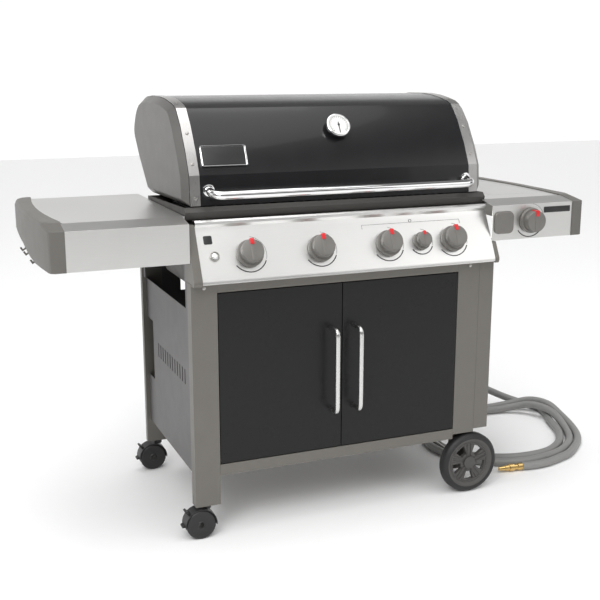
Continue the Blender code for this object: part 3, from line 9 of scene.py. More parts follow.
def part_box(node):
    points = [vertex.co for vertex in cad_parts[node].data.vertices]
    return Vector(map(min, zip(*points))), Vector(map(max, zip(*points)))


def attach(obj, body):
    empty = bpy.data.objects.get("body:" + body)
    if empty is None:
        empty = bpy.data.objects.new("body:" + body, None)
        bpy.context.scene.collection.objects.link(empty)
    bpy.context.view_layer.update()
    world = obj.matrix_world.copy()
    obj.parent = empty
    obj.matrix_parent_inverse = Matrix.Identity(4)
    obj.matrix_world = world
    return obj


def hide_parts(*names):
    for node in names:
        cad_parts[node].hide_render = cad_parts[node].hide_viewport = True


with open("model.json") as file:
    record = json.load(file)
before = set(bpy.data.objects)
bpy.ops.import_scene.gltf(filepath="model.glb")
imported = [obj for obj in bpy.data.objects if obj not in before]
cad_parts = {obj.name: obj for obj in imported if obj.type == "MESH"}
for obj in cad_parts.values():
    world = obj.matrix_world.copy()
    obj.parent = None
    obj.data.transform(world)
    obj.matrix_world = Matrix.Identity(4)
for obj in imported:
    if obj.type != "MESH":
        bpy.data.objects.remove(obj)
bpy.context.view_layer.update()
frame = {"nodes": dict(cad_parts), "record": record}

# ---------------------------------------------------------------- places and sizes
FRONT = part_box("front_left_leg")[0][1]         # front face of the legs
KNOB_NODES = ["burner_knob_1", "burner_knob_2", "burner_knob_3", "burner_knob_4", "sear_knob"]
HOSE_RADIUS = 0.0133
GAP = 0.0003
LAID = 0.0134                                  # height of the hose's middle line on the floor
PANEL_FOOT = (-0.0323, 0.7505)                 # depth and height of the panel's lower front edge
PANEL_RISE = (0.0608, 0.1215)                  # how far the panel leans back and goes up
KNOB_HEIGHT = 0.810
KNOB_LENGTH = 0.040
LID_LIP = (0.0694, 0.9377)                     # depths and heights of four points up the lid's front
LID_BEND = (0.0760, 1.0189)
LID_SHOULDER = (0.1040, 1.0770)
LID_BROW = (0.1500, 1.1490)
HUB_SEAM = 0.078                               # radius where a wheel's tyre meets its hub


def row(y):
    """World y of a depth counted back from the front face of the legs."""
    return FRONT + y


def panel_face(z):
    """World y of the control panel's face at a height."""
    return row(PANEL_FOOT[0] + (z - PANEL_FOOT[1]) * PANEL_RISE[0] / PANEL_RISE[1])


# ---------------------------------------------------------------- camera and hose
def place_camera():
    lens = bpy.data.cameras.new("camera")
    lens.sensor_width = 36.0
    lens.lens = 60.31
    camera = bpy.data.objects.new("camera", lens)
    camera.location = (-1.1716, row(-2.5300), 1.3081)
    camera.rotation_euler = (math.radians(76.8498), 0.0, math.radians(-22.3628))
    bpy.context.scene.collection.objects.link(camera)
    bpy.context.scene.camera = camera


HOSE_ROUTE = [
    (0.362, 0.602, 0.380), (0.432, 0.602, 0.380), (0.500, 0.608, 0.366), (0.600, 0.628, 0.297),
    (0.700, 0.645, 0.215),
    (0.830, 0.660, 0.126), (0.930, 0.664, 0.074), (1.003, 0.655, 0.038), (1.052, 0.634, 0.0190),
    (1.087, 0.590, LAID), (1.094, 0.533, LAID), (1.080, 0.478, LAID), (1.052, 0.420, LAID),
    (1.027, 0.352, LAID), (1.000, 0.286, LAID), (0.938, 0.207, LAID), (0.850, 0.155, LAID),
    (0.740, 0.149, LAID),
    (0.650, 0.178, LAID), (0.575, 0.240, LAID), (0.540, 0.330, LAID), (0.562, 0.425, LAID),
    (0.632, 0.510, LAID), (0.730, 0.562, LAID), (0.830, 0.588, LAID), (0.915, 0.586, LAID),
    (0.985, 0.567, 0.0230), (1.036, 0.527, 0.0400), (1.062, 0.465, 0.0425), (1.066, 0.395, 0.0330),
    (1.042, 0.300, LAID), (0.985, 0.208, LAID), (0.900, 0.143, LAID), (0.800, 0.114, LAID),
    (0.710, 0.114, LAID), (0.620, 0.148, LAID), (0.542, 0.220, LAID), (0.508, 0.330, LAID),
    (0.534, 0.440, LAID), (0.606, 0.533, LAID), (0.710, 0.596, LAID), (0.820, 0.624, LAID),
    (0.923, 0.622, LAID), (1.000, 0.606, 0.0230), (1.066, 0.566, 0.0425), (1.102, 0.500, 0.0425),
    (1.106, 0.420, 0.0230), (1.078, 0.310, LAID), (1.020, 0.206, LAID), (0.924, 0.120, LAID),
    (0.863, 0.092, LAID), (0.800, 0.073, LAID), (0.745, 0.0685, LAID), (0.696, 0.0755, LAID),
]


def smooth_line(route, parts=6):
    """Points on the smooth curve through all the points of a route."""
    route = [Vector(point) for point in route]
    ends = [2.0 * route[0] - route[1]] + route + [2.0 * route[-1] - route[-2]]
    fine = []
    for index in range(1, len(ends) - 2):
        before, start, end, after = ends[index - 1:index + 3]
        for part in range(parts):
            t = part / parts
            fine.append(0.5 * (2.0 * start + (end - before) * t
                               + (2.0 * before - 5.0 * start + 4.0 * end - after) * t ** 2
                               + (3.0 * start - before - 3.0 * end + after) * t ** 3))
    fine.append(route[-1])
    return fine


# ---------------------------------------------------------------- finishes
def finish(name, colour, roughness, metallic=0.0, coat=0.0, coat_roughness=0.05, tint=0.06,
           grain=0.05, grain_size=0.002, stretch=(1.0, 1.0, 1.0), uneven=0.06, uneven_size=0.05,
           specular=0.5):
    """A surface with a fine grain in its bump, uneven gloss, and a slight drift of its colour."""
    look = bpy.data.materials.new(name)
    look.use_nodes = True
    tree = look.node_tree
    shader = tree.nodes["Principled BSDF"]
    shader.inputs["Metallic"].default_value = metallic
    shader.inputs["Specular IOR Level"].default_value = specular
    shader.inputs["Coat Weight"].default_value = coat
    shader.inputs["Coat Roughness"].default_value = coat_roughness
    place = tree.nodes.new("ShaderNodeTexCoord")
    turn = tree.nodes.new("ShaderNodeMapping")
    turn.inputs["Scale"].default_value = stretch
    tree.links.new(place.outputs["Object"], turn.inputs["Vector"])

    fine = tree.nodes.new("ShaderNodeTexNoise")
    fine.inputs["Scale"].default_value = 1.0 / grain_size
    fine.inputs["Detail"].default_value = 3.0
    tree.links.new(turn.outputs["Vector"], fine.inputs["Vector"])
    broad = tree.nodes.new("ShaderNodeTexNoise")
    broad.inputs["Scale"].default_value = 1.0 / uneven_size
    broad.inputs["Detail"].default_value = 4.0
    tree.links.new(place.outputs["Object"], broad.inputs["Vector"])

    both = tree.nodes.new("ShaderNodeMath")
    both.operation = "MULTIPLY_ADD"
    both.inputs[1].default_value = 0.5
    half = tree.nodes.new("ShaderNodeMath")
    half.operation = "MULTIPLY"
    half.inputs[1].default_value = 0.5
    tree.links.new(fine.outputs["Fac"], half.inputs[0])
    tree.links.new(broad.outputs["Fac"], both.inputs[0])
    tree.links.new(half.outputs[0], both.inputs[2])

    gloss = tree.nodes.new("ShaderNodeMapRange")
    gloss.inputs["From Min"].default_value = 0.3
    gloss.inputs["From Max"].default_value = 0.7
    gloss.inputs["To Min"].default_value = max(0.02, roughness - uneven)
    gloss.inputs["To Max"].default_value = min(1.0, roughness + uneven)
    tree.links.new(both.outputs[0], gloss.inputs["Value"])
    tree.links.new(gloss.outputs["Result"], shader.inputs["Roughness"])

    drift = tree.nodes.new("ShaderNodeValToRGB")
    drift.color_ramp.elements[0].position = 0.3
    drift.color_ramp.elements[1].position = 0.7
    drift.color_ramp.elements[0].color = (*[channel * (1.0 - tint) for channel in colour], 1.0)
    drift.color_ramp.elements[1].color = (*[min(1.0, channel * (1.0 + tint)) for channel in colour], 1.0)
    tree.links.new(both.outputs[0], drift.inputs["Fac"])
    tree.links.new(drift.outputs["Color"], shader.inputs["Base Color"])

    bump = tree.nodes.new("ShaderNodeBump")
    bump.inputs["Strength"].default_value = grain
    bump.inputs["Distance"].default_value = 0.0005
    tree.links.new(fine.outputs["Fac"], bump.inputs["Height"])
    tree.links.new(bump.outputs["Normal"], shader.inputs["Normal"])
    return look


LEG_PAINT = finish("warm grey powder coat", (0.150, 0.142, 0.127), 0.42, 0.35, grain=0.10, grain_size=0.0015)
SIDE_PAINT = finish("dark grey powder coat", (0.108, 0.104, 0.104), 0.48, 0.30, grain=0.10, grain_size=0.0015)
DOOR_PAINT = finish("satin black enamel", (0.010, 0.010, 0.010), 0.30, grain=0.08, grain_size=0.0012,
                    specular=0.25)
LID_ENAMEL = finish("gloss black porcelain enamel", (0.010, 0.010, 0.011), 0.24, coat=0.15, grain=0.04,
                    grain_size=0.004, uneven=0.03, specular=0.35)
CASTING = finish("grey painted casting", (0.145, 0.140, 0.133), 0.40, 0.35, grain=0.14, grain_size=0.0010)
TABLE_STEEL = finish("brushed steel tables", (0.66, 0.655, 0.64), 0.34, 1.0, grain=0.10, grain_size=0.0008,
                     stretch=(0.02, 1.0, 1.0), uneven=0.05, uneven_size=0.25, tint=0.04)
PANEL_STEEL = finish("brushed steel panel", (0.80, 0.795, 0.78), 0.36, 1.0, grain=0.10, grain_size=0.0008,
                     stretch=(0.02, 1.0, 1.0), uneven=0.05, uneven_size=0.25, tint=0.03)
BRIGHT_STEEL = finish("bright trim steel", (0.50, 0.49, 0.48), 0.30, 1.0, grain=0.05, grain_size=0.0008,
                      stretch=(1.0, 0.05, 0.05), uneven=0.05)
CHROME = finish("polished chrome", (0.78, 0.78, 0.78), 0.07, 1.0, grain=0.01, uneven=0.03, tint=0.02)
HANDLE_STEEL = finish("soft chrome door handles", (0.60, 0.60, 0.59), 0.26, 1.0, grain=0.02, uneven=0.05,
                      tint=0.03)
DULL_STEEL = finish("stamped steel", (0.42, 0.41, 0.39), 0.38, 1.0, grain=0.10, uneven=0.10, tint=0.12)
CAP_PLASTIC = finish("warm grey moulded plastic", (0.120, 0.114, 0.103), 0.46, grain=0.20, grain_size=0.0008)
KNOB_PLASTIC = finish("knob plastic", (0.165, 0.158, 0.146), 0.36, 0.2, grain=0.10, grain_size=0.0008)
BLACK_PLASTIC = finish("black moulded plastic", (0.014, 0.014, 0.014), 0.42, grain=0.15, grain_size=0.0008)
HUB_GREY = finish("grey hub plastic", (0.060, 0.058, 0.055), 0.42, grain=0.15, grain_size=0.0010)
IRON = finish("seasoned cast iron", (0.022, 0.021, 0.020), 0.55, 0.3, grain=0.45, grain_size=0.0014,
              uneven=0.12)
FIREBOX = finish("sooted casting", (0.060, 0.057, 0.053), 0.55, 0.3, grain=0.30, grain_size=0.0016,
                 uneven=0.12)
BRASS = finish("machined brass", (0.72, 0.50, 0.20), 0.22, 1.0, grain=0.05, uneven=0.08, tint=0.10)
HOSE_RUBBER = finish("grey hose rubber", (0.235, 0.235, 0.228), 0.50, grain=0.12, grain_size=0.0014,
                     tint=0.05)
RED_MARK = finish("red pointer paint", (0.62, 0.015, 0.020), 0.35, grain=0.04, tint=0.03)
WHITE_MARK = finish("white print", (0.75, 0.75, 0.73), 0.40, grain=0.03, tint=0.02)
BLACK_MARK = finish("black print", (0.016, 0.016, 0.016), 0.40, grain=0.03, tint=0.02)

NODE_LOOKS = {
    "frame_paint": LEG_PAINT, "side_paint": SIDE_PAINT, "door_paint": DOOR_PAINT, "brushed_steel": DULL_STEEL,
    "chrome": CHROME, "black_enamel": LID_ENAMEL, "grey_casting": CASTING, "cookbox_casting": FIREBOX,
    "warm_grey_plastic": CAP_PLASTIC, "black_plastic": BLACK_PLASTIC, "cast_iron": IRON, "brass": BRASS,
    "grey_rubber": HOSE_RUBBER, "dial": CHROME,
}
SPECIAL_LOOKS = {
    "left_table": TABLE_STEEL, "right_table": TABLE_STEEL, "side_burner_lid": TABLE_STEEL,
    "control_panel": PANEL_STEEL, "lid_trim_left": BRIGHT_STEEL, "lid_trim_right": BRIGHT_STEEL,
    "side_igniter_button": KNOB_PLASTIC, "thermometer_needle": BLACK_MARK,
}
SLOTS = {part["node"]: part["material_slot"] for part in frame["record"]["subparts"]}
BODIES = {node: body for body, nodes in frame["record"]["behaviour"]["bodies"].items() for node in nodes}


def look_of(node):
    return SPECIAL_LOOKS.get(node, NODE_LOOKS[SLOTS[node]])


def dress_nodes():
    for node, body in frame["nodes"].items():
        body.data.materials.clear()
        body.data.materials.append(look_of(node))


# ---------------------------------------------------------------- ways of making a piece
def alone(piece):
    bpy.ops.object.select_all(action="DESELECT")
    piece.select_set(True)
    bpy.context.view_layer.objects.active = piece


def settled(piece, name, look):
    """Puts the piece's place into its mesh and gives it its name and finish."""
    alone(piece)
    bpy.ops.object.transform_apply(location=True, rotation=True, scale=True)
    piece.name = name
    piece.data.name = name
    piece.data.materials.clear()
    piece.data.materials.append(look)
    return piece


def bevelled(piece, width, segments=2, angle=30.0):
    alone(piece)
    edge = piece.modifiers.new("edge", "BEVEL")
    edge.width = width
    edge.segments = segments
    edge.limit_method = "ANGLE"
    edge.angle_limit = math.radians(angle)
    edge.use_clamp_overlap = True
    bpy.ops.object.modifier_apply(modifier=edge.name)
    return piece


def smooth(piece, angle=30.0):
    alone(piece)
    bpy.ops.object.shade_smooth_by_angle(angle=math.radians(angle))
    return piece


def fitted(piece, body, slot, *nodes):
    """Says what the piece moves with and the nodes that it stands for; its finish slot is not used."""
    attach(piece, body)
    if nodes:
        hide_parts(*nodes)
    return piece


def refined(node, width=0.0010, segments=2, angle=30.0, look=None, crease=None):
    """A copy of a CAD node with merged faces, round edges and smooth shading, in its place."""
    source = frame["nodes"][node]
    piece = source.copy()
    piece.data = source.data.copy()
    piece.parent = None
    piece.matrix_world = Matrix.Identity(4)
    bpy.context.scene.collection.objects.link(piece)
    alone(piece)
    bpy.ops.object.mode_set(mode="EDIT")
    bpy.ops.mesh.select_all(action="SELECT")
    bpy.ops.mesh.remove_doubles(threshold=0.00002)
    bpy.ops.mesh.dissolve_limited(angle_limit=math.radians(1.0))
    bpy.ops.object.mode_set(mode="OBJECT")
    if width:
        bevelled(piece, width, segments, angle)
    settled(piece, node + "_finished", look or look_of(node))
    smooth(piece, crease or angle)
    weights = piece.modifiers.new("weights", "WEIGHTED_NORMAL")
    weights.keep_sharp = True
    bpy.ops.object.modifier_apply(modifier=weights.name)
    return fitted(piece, BODIES[node], SLOTS[node], node)


def standing(node, centre, out):
    """How far a CAD node reaches from a point along a direction."""
    body = frame["nodes"][node]
    return max((body.matrix_world @ corner.co - Vector(centre)).dot(out) for corner in body.data.vertices)


def disc(name, centre, normal, radius, depth, look, sides=48, edge=0.0006):
    """A round piece that stands on `centre` and grows along `normal`, with a round edge."""
    normal = Vector(normal).normalized()
    turn = Vector((0.0, 0.0, 1.0)).rotation_difference(normal).to_euler()
    middle = Vector(centre) + normal * (depth / 2)
    bpy.ops.object.select_all(action="DESELECT")
    bpy.ops.mesh.primitive_cylinder_add(vertices=sides, radius=radius, depth=depth, location=middle,
                                        rotation=turn)
    piece = settled(bpy.context.object, name, look)
    if edge:
        bevelled(piece, edge, 2, 40.0)
    return smooth(piece, 40.0)


def ring(name, centre, normal, radius, thickness, look, sides=64):
    """A round wire ring."""
    turn = Vector((0.0, 0.0, 1.0)).rotation_difference(Vector(normal).normalized()).to_euler()
    bpy.ops.object.select_all(action="DESELECT")
    bpy.ops.mesh.primitive_torus_add(major_radius=radius, minor_radius=thickness, major_segments=sides,
                                     minor_segments=10, location=centre, rotation=turn)
    return smooth(settled(bpy.context.object, name, look), 60.0)


def tile(name, centre, across, up, size, look, edge=0.0008, corner=0.0):
    """A flat plate set by its middle, two directions and its full size, with round corners and edges."""
    across = Vector(across).normalized()
    up = Vector(up).normalized()
    out = across.cross(up)
    bpy.ops.object.select_all(action="DESELECT")
    bpy.ops.mesh.primitive_cube_add(size=1.0)
    piece = bpy.context.object
    piece.scale = size
    alone(piece)
    bpy.ops.object.transform_apply(location=False, rotation=False, scale=True)
    if corner:
        bpy.ops.object.mode_set(mode="EDIT")
        bpy.ops.mesh.select_all(action="DESELECT")
        bpy.ops.object.mode_set(mode="OBJECT")
        for line in piece.data.edges:
            first, second = (piece.data.vertices[index].co for index in line.vertices)
            line.select = abs((first - second).normalized().z) > 0.9
        bpy.ops.object.mode_set(mode="EDIT")
        bpy.ops.mesh.select_mode(type="EDGE")
        bpy.ops.mesh.bevel(offset=corner, segments=6, affect="EDGES")
        bpy.ops.object.mode_set(mode="OBJECT")
    turn = Matrix((across, up, out)).transposed().to_4x4()
    piece.matrix_world = Matrix.Translation(centre) @ turn
    settled(piece, name, look)
    if edge:
        bevelled(piece, edge, 2, 40.0)
    return smooth(piece, 40.0)


def round_line(name, route, radius, sides):
    """A round curve along a route, closed at its ends."""
    curve = bpy.data.curves.new(name, "CURVE")
    curve.dimensions = "3D"
    curve.bevel_depth = radius
    curve.bevel_resolution = sides
    curve.use_fill_caps = True
    line = curve.splines.new("POLY")
    line.points.add(len(route) - 1)
    for spot, point in zip(line.points, route):
        spot.co = (*point, 1.0)
    piece = bpy.data.objects.new(name, curve)
    bpy.context.scene.collection.objects.link(piece)
    return piece


def bar(name, route, radius, look, sides=10):
    """A round bar along a smooth or straight route, as a mesh."""
    alone(round_line(name, route, radius, sides))
    bpy.ops.object.convert(target="MESH")
    piece = bpy.context.object
    bpy.ops.object.mode_set(mode="EDIT")
    bpy.ops.mesh.select_all(action="SELECT")
    bpy.ops.mesh.remove_doubles(threshold=0.00001)
    bpy.ops.mesh.normals_make_consistent(inside=False)
    bpy.ops.object.mode_set(mode="OBJECT")
    settled(piece, name, look)
    return smooth(piece, 50.0)


def rounded_route(corners, radius, steps=6):
    """Straight stretches between the corner points, with an arc of one radius at each corner."""
    corners = [Vector(corner) for corner in corners]
    route = [corners[0]]
    for before, corner, after in zip(corners, corners[1:], corners[2:]):
        start = corner + (before - corner).normalized() * radius
        end = corner + (after - corner).normalized() * radius
        for step in range(steps + 1):
            t = step / steps
            route.append(start * (1 - t) ** 2 + corner * 2 * t * (1 - t) + end * t ** 2)
    route.append(corners[-1])
    return route


# ---------------------------------------------------------------- hose
def make_hose():
    points = smooth_line([(x, row(y), z) for x, y, z in HOSE_ROUTE])
    for point in points:
        point.z = max(point.z, HOSE_RADIUS + GAP)
    hose = round_line("gas_hose_line", points, HOSE_RADIUS, 6)
    hose.data.materials.append(HOSE_RUBBER)
    fitted(hose, "cart", "grey_rubber", "gas_hose")


# ---------------------------------------------------------------- lid
def lid_slope(low, high):
    """Unit vector up the lid's outline between two of its points, and the normal that points out of it."""
    along = (Vector((0.0, *high)) - Vector((0.0, *low))).normalized()
    return along, Vector((0.0, -along.z, along.y))


def make_lid():
    refined("lid_shell", 0.0, angle=16.0)
    for name in ("lid_cap_left", "lid_cap_right"):
        refined(name, 0.0035, 3, 35.0)
    for name in ("lid_trim_left", "lid_trim_right"):
        refined(name, 0.0, angle=14.0)

    low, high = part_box("lid_handle")
    x_left, x_right = low[0] + 0.012, high[0] - 0.012
    lid_front, mount_height = row(0.0724), 0.9785
    bar_front, bar_height = row(0.020), 0.969
    corners = [(x_left, lid_front, mount_height), (x_left + 0.003, bar_front, bar_height),
               (x_right - 0.003, bar_front, bar_height), (x_right, lid_front, mount_height)]
    handle = bar("lid_handle_bar", rounded_route(corners, 0.030, 8), 0.0118, CHROME, 8)
    fitted(handle, "lid", "chrome", "lid_handle")
    for x in (x_left, x_right):
        mount = disc("lid_handle_mount", (x, lid_front - 0.0002, mount_height), (0, -0.9967, 0.081),
                     0.0165, 0.0055, CHROME, edge=0.0018)
        fitted(mount, "lid", "chrome")

    along, out = lid_slope(LID_BEND, LID_SHOULDER)
    centre = Vector((-0.316, row(0.0990), 1.0667))
    plate = tile("lid_plate_rim", centre + out * 0.0014, (1, 0, 0), along, (0.1320, 0.0600, 0.0030),
                 CHROME, 0.0010, 0.006)
    fitted(plate, "lid", "chrome")
    face = tile("lid_plate_face", centre + out * 0.0029, (1, 0, 0), along, (0.1240, 0.0520, 0.0012),
                BLACK_MARK, 0.0003, 0.004)
    fitted(face, "lid", "black_enamel")


def make_lid_screws():
    """Screw heads down the middle of each trim strip: three on the front and two on the top."""
    stretches = ((LID_LIP, LID_BEND, 0.25), (LID_BEND, LID_SHOULDER, 0.50), (LID_SHOULDER, LID_BROW, 0.70),
                 ((0.2120, 1.2010), (0.2499, 1.2085), 0.50), ((0.4490, 1.2195), (0.5100, 1.2150), 0.60))
    for node in ("lid_trim_left", "lid_trim_right"):
        low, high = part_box(node)
        for start, end, share in stretches:
            out = lid_slope(start, end)[1]
            stretch = Vector((0.0, *end)) - Vector((0.0, *start))
            spot = Vector(((low[0] + high[0]) / 2, row(start[0]), start[1])) + stretch * share
            head = disc(node + "_screw", spot + out * 0.0014, out, 0.0046, 0.0022, DULL_STEEL, 24, 0.0008)
            fitted(head, "lid", "chrome")


def make_thermometer():
    """Bezel, white dial face and the pin that holds the needle."""
    out = lid_slope(LID_SHOULDER, LID_BROW)[1]
    refined("thermometer", 0.0008, 2, 40.0)
    hub = Vector((0.038, row(0.1385), 1.131)) + out * 0.0222
    face = disc("thermometer_face", hub - out * 0.0008, out, 0.0312, 0.0005, dial_look(hub, out), edge=0.0)
    fitted(face, "lid", "dial")
    pin = disc("thermometer_pin", hub - out * 0.0002, out, 0.0035, 0.0020, BLACK_MARK, 24, 0.0005)
    fitted(pin, "lid", "dial")


def dial_look(hub, out):
    """White dial with a black scale round its rim, open at the bottom."""
    ticks_in_turn, tick_share = 24.0, 0.22
    ticks_inside, ticks_outside, line_outside = 0.0215, 0.0275, 0.0286
    half_scale = 2.45
    look = bpy.data.materials.new("thermometer dial")
    look.use_nodes = True
    tree = look.node_tree
    shader = tree.nodes["Principled BSDF"]
    shader.inputs["Roughness"].default_value = 0.35
    place = tree.nodes.new("ShaderNodeTexCoord")
    turn = tree.nodes.new("ShaderNodeMapping")
    turn.vector_type = "TEXTURE"
    turn.inputs["Location"].default_value = hub
    turn.inputs["Rotation"].default_value = (math.atan2(-out.y, out.z), 0.0, 0.0)
    tree.links.new(place.outputs["Object"], turn.inputs["Vector"])
    parts = tree.nodes.new("ShaderNodeSeparateXYZ")
    tree.links.new(turn.outputs["Vector"], parts.inputs[0])

    def sum_up(operation, first, second=None):
        node = tree.nodes.new("ShaderNodeMath")
        node.operation = operation
        for index, value in enumerate((first, second)):
            if value is None:
                continue
            if isinstance(value, float):
                node.inputs[index].default_value = value
            else:
                tree.links.new(value, node.inputs[index])
        return node.outputs[0]

    angle = sum_up("ARCTAN2", parts.outputs[0], parts.outputs[1])
    radius = sum_up("SQRT", sum_up("ADD", sum_up("MULTIPLY", parts.outputs[0], parts.outputs[0]),
                                   sum_up("MULTIPLY", parts.outputs[1], parts.outputs[1])))
    steps = sum_up("MULTIPLY", sum_up("ADD", angle, 10.0), ticks_in_turn / (2.0 * math.pi))
    ticks = sum_up("LESS_THAN", sum_up("FRACT", steps), tick_share)
    band = sum_up("MULTIPLY", sum_up("GREATER_THAN", radius, ticks_inside),
                  sum_up("LESS_THAN", radius, ticks_outside))
    open_below = sum_up("LESS_THAN", sum_up("ABSOLUTE", angle), half_scale)
    mark = sum_up("MULTIPLY", sum_up("MULTIPLY", ticks, band), open_below)
    line = sum_up("MULTIPLY", sum_up("GREATER_THAN", radius, ticks_outside),
                  sum_up("LESS_THAN", radius, line_outside))
    mark = sum_up("MAXIMUM", mark, sum_up("MULTIPLY", line, open_below))
    paint = tree.nodes.new("ShaderNodeMix")
    paint.data_type = "RGBA"
    paint.inputs["A"].default_value = (0.80, 0.80, 0.78, 1.0)
    paint.inputs["B"].default_value = (0.02, 0.02, 0.02, 1.0)
    tree.links.new(mark, paint.inputs["Factor"])
    tree.links.new(paint.outputs["Result"], shader.inputs["Base Color"])
    return look


# ---------------------------------------------------------------- knobs and panel
def panel_frame():
    """Unit vectors up the panel's face and out of it."""
    up = Vector((0.0, *PANEL_RISE)).normalized()
    return up, Vector((0.0, -up.z, up.y))


def make_knob(node, centre, out, up, radius, length):
    """Stepped knob with a flat finger bar and a red pointer, to sit over a printed dial ring made by
    make_dial_ring.
    """
    slot = SLOTS[node]
    body = BODIES[node]
    across = up.cross(out)
    skirt = disc(node + "_skirt", centre + out * 0.0008, out, radius, length * 0.34,
                 KNOB_PLASTIC, 64, 0.0022)
    fitted(skirt, body, slot, node)
    cap = disc(node + "_cap", centre + out * (length * 0.30), out, radius * 0.84, length * 0.66,
               KNOB_PLASTIC, 64, 0.0030)
    fitted(cap, body, slot)
    grip = tile(node + "_grip", centre + out * (length * 0.965) - up * (radius * 0.04), across, up,
                (radius * 0.36, radius * 1.40, length * 0.06), KNOB_PLASTIC, 0.0012, radius * 0.06)
    fitted(grip, body, slot)
    mark = tile(node + "_pointer", centre + out * (length * 0.70) + up * (radius * 0.66), across, up,
                (radius * 0.30, radius * 0.44, length * 0.66), RED_MARK, 0.0008)
    fitted(mark, body, slot)


def make_controls():
    up, out = panel_frame()
    for node in KNOB_NODES:
        low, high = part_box(node)
        centre = Vector(((low[0] + high[0]) / 2, panel_face(KNOB_HEIGHT), KNOB_HEIGHT))
        radius = (high[0] - low[0]) / 2
        length = KNOB_LENGTH * (0.55 + 0.45 * radius / 0.038)
        make_knob(node, centre, out, up, radius, length)
        make_dial_ring(node, centre, out, up, radius)
    low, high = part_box("side_burner_knob")
    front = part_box("right_table")[0][1]
    centre = Vector(((low[0] + high[0]) / 2, front, (low[2] + high[2]) / 2))
    forward, upright = Vector((0, -1, 0)), Vector((0, 0, 1))
    radius = (high[0] - low[0]) / 2
    make_knob("side_burner_knob", centre, forward, upright, radius, KNOB_LENGTH)
    make_dial_ring("side_burner_knob", centre, forward, upright, radius)

    low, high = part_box("igniter_button")
    centre = Vector(((low[0] + high[0]) / 2, panel_face(KNOB_HEIGHT), KNOB_HEIGHT))
    collar = ring("igniter_collar", centre + out * 0.0022, out, 0.0125, 0.0018, DULL_STEEL, 48)
    fitted(collar, "cart", "chrome")
    refined("igniter_button", 0.0010, 3, 40.0, CHROME)
    front = standing("igniter_button", centre, out)
    face = disc("igniter_face", centre + out * (front - 0.0002), out, 0.0062, 0.0010, WHITE_MARK, 40, 0.0004)
    fitted(face, "igniter_button", "black_plastic")

    refined("side_igniter_button", 0.0015, 3, 40.0, KNOB_PLASTIC)


def panel_spot(x, z, out):
    """Point just proud of the control panel's face."""
    return Vector((x, panel_face(z), z)) + out * 0.0004


def make_panel_marks():
    """Printed bracket over the two right knobs, with a small circle on it."""
    up, out = panel_frame()
    corners = [(0.068, 0.853), (0.068, 0.864), (0.3876, 0.864), (0.3876, 0.853)]
    bracket = bar("panel_bracket", [panel_spot(x, z, out) for x, z in corners], 0.0005, BLACK_MARK, 2)
    fitted(bracket, "cart", "black_plastic")
    mark = ring("panel_mark", panel_spot(0.2245, 0.868, out), out, 0.0042, 0.0006, BLACK_MARK, 32)
    fitted(mark, "cart", "black_plastic")
    badge = tile("panel_badge", panel_spot(-0.3905, 0.852, out), (1, 0, 0), up, (0.024, 0.024, 0.0010),
                 BLACK_MARK, 0.0003, 0.004)
    fitted(badge, "cart", "black_plastic")


def make_table_badge():
    """Dark plate on the front of the right table, beside the side burner's knob."""
    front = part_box("right_table")[0][1]
    badge = tile("table_badge", (0.7145, front - 0.0006, 0.881), (1, 0, 0), (0, 0, 1), (0.095, 0.018, 0.0016),
                 BLACK_MARK, 0.0004, 0.002)
    fitted(badge, "cart", "black_plastic")


def make_leg_screws():
    """A screw at the top of each front leg."""
    for node in ("front_left_leg", "front_right_leg"):
        low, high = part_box(node)
        head = disc(node + "_screw", ((low[0] + high[0]) / 2, low[1] + 0.0004, 0.7255), (0, -1, 0),
                    0.0048, 0.0026, DULL_STEEL, 24, 0.0008)
        fitted(head, "cart", "chrome")


def make_dial_ring(node, centre, out, up, radius):
    """Thin printed arcs round a knob: a heavy one below and a light one at the upper left."""
    across = up.cross(out) * -1.0
    reach = radius + 0.0120
    for name, width, start, end in (("scale", 0.0030, 205, 325), ("light", 0.0008, 100, 200)):
        points = []
        for step in range(25):
            angle = math.radians(start + (end - start) * step / 24)
            points.append(centre + out * 0.0004 + (across * math.cos(angle) + up * math.sin(angle)) * reach)
        arc = bar(f"{node}_{name}_arc", points, width / 2, BLACK_MARK, 2)
        fitted(arc, "cart", "black_plastic")


# ---------------------------------------------------------------- doors, wheels and casters
def make_door_handle(side):
    """A round chrome bar with a soft bend at each end."""
    node = side + "_door_handle"
    low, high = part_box(node)
    radius = (high[0] - low[0]) / 2
    x = (low[0] + high[0]) / 2
    y = low[1] + radius
    top, foot = high[2] - radius, low[2] + radius
    route = rounded_route([(x, high[1], top), (x, y, top), (x, y, foot), (x, high[1], foot)], 0.020, 8)
    fitted(bar(node + "_bar", route, radius - 0.0001, HANDLE_STEEL, 8), side + "_door", "chrome", node)


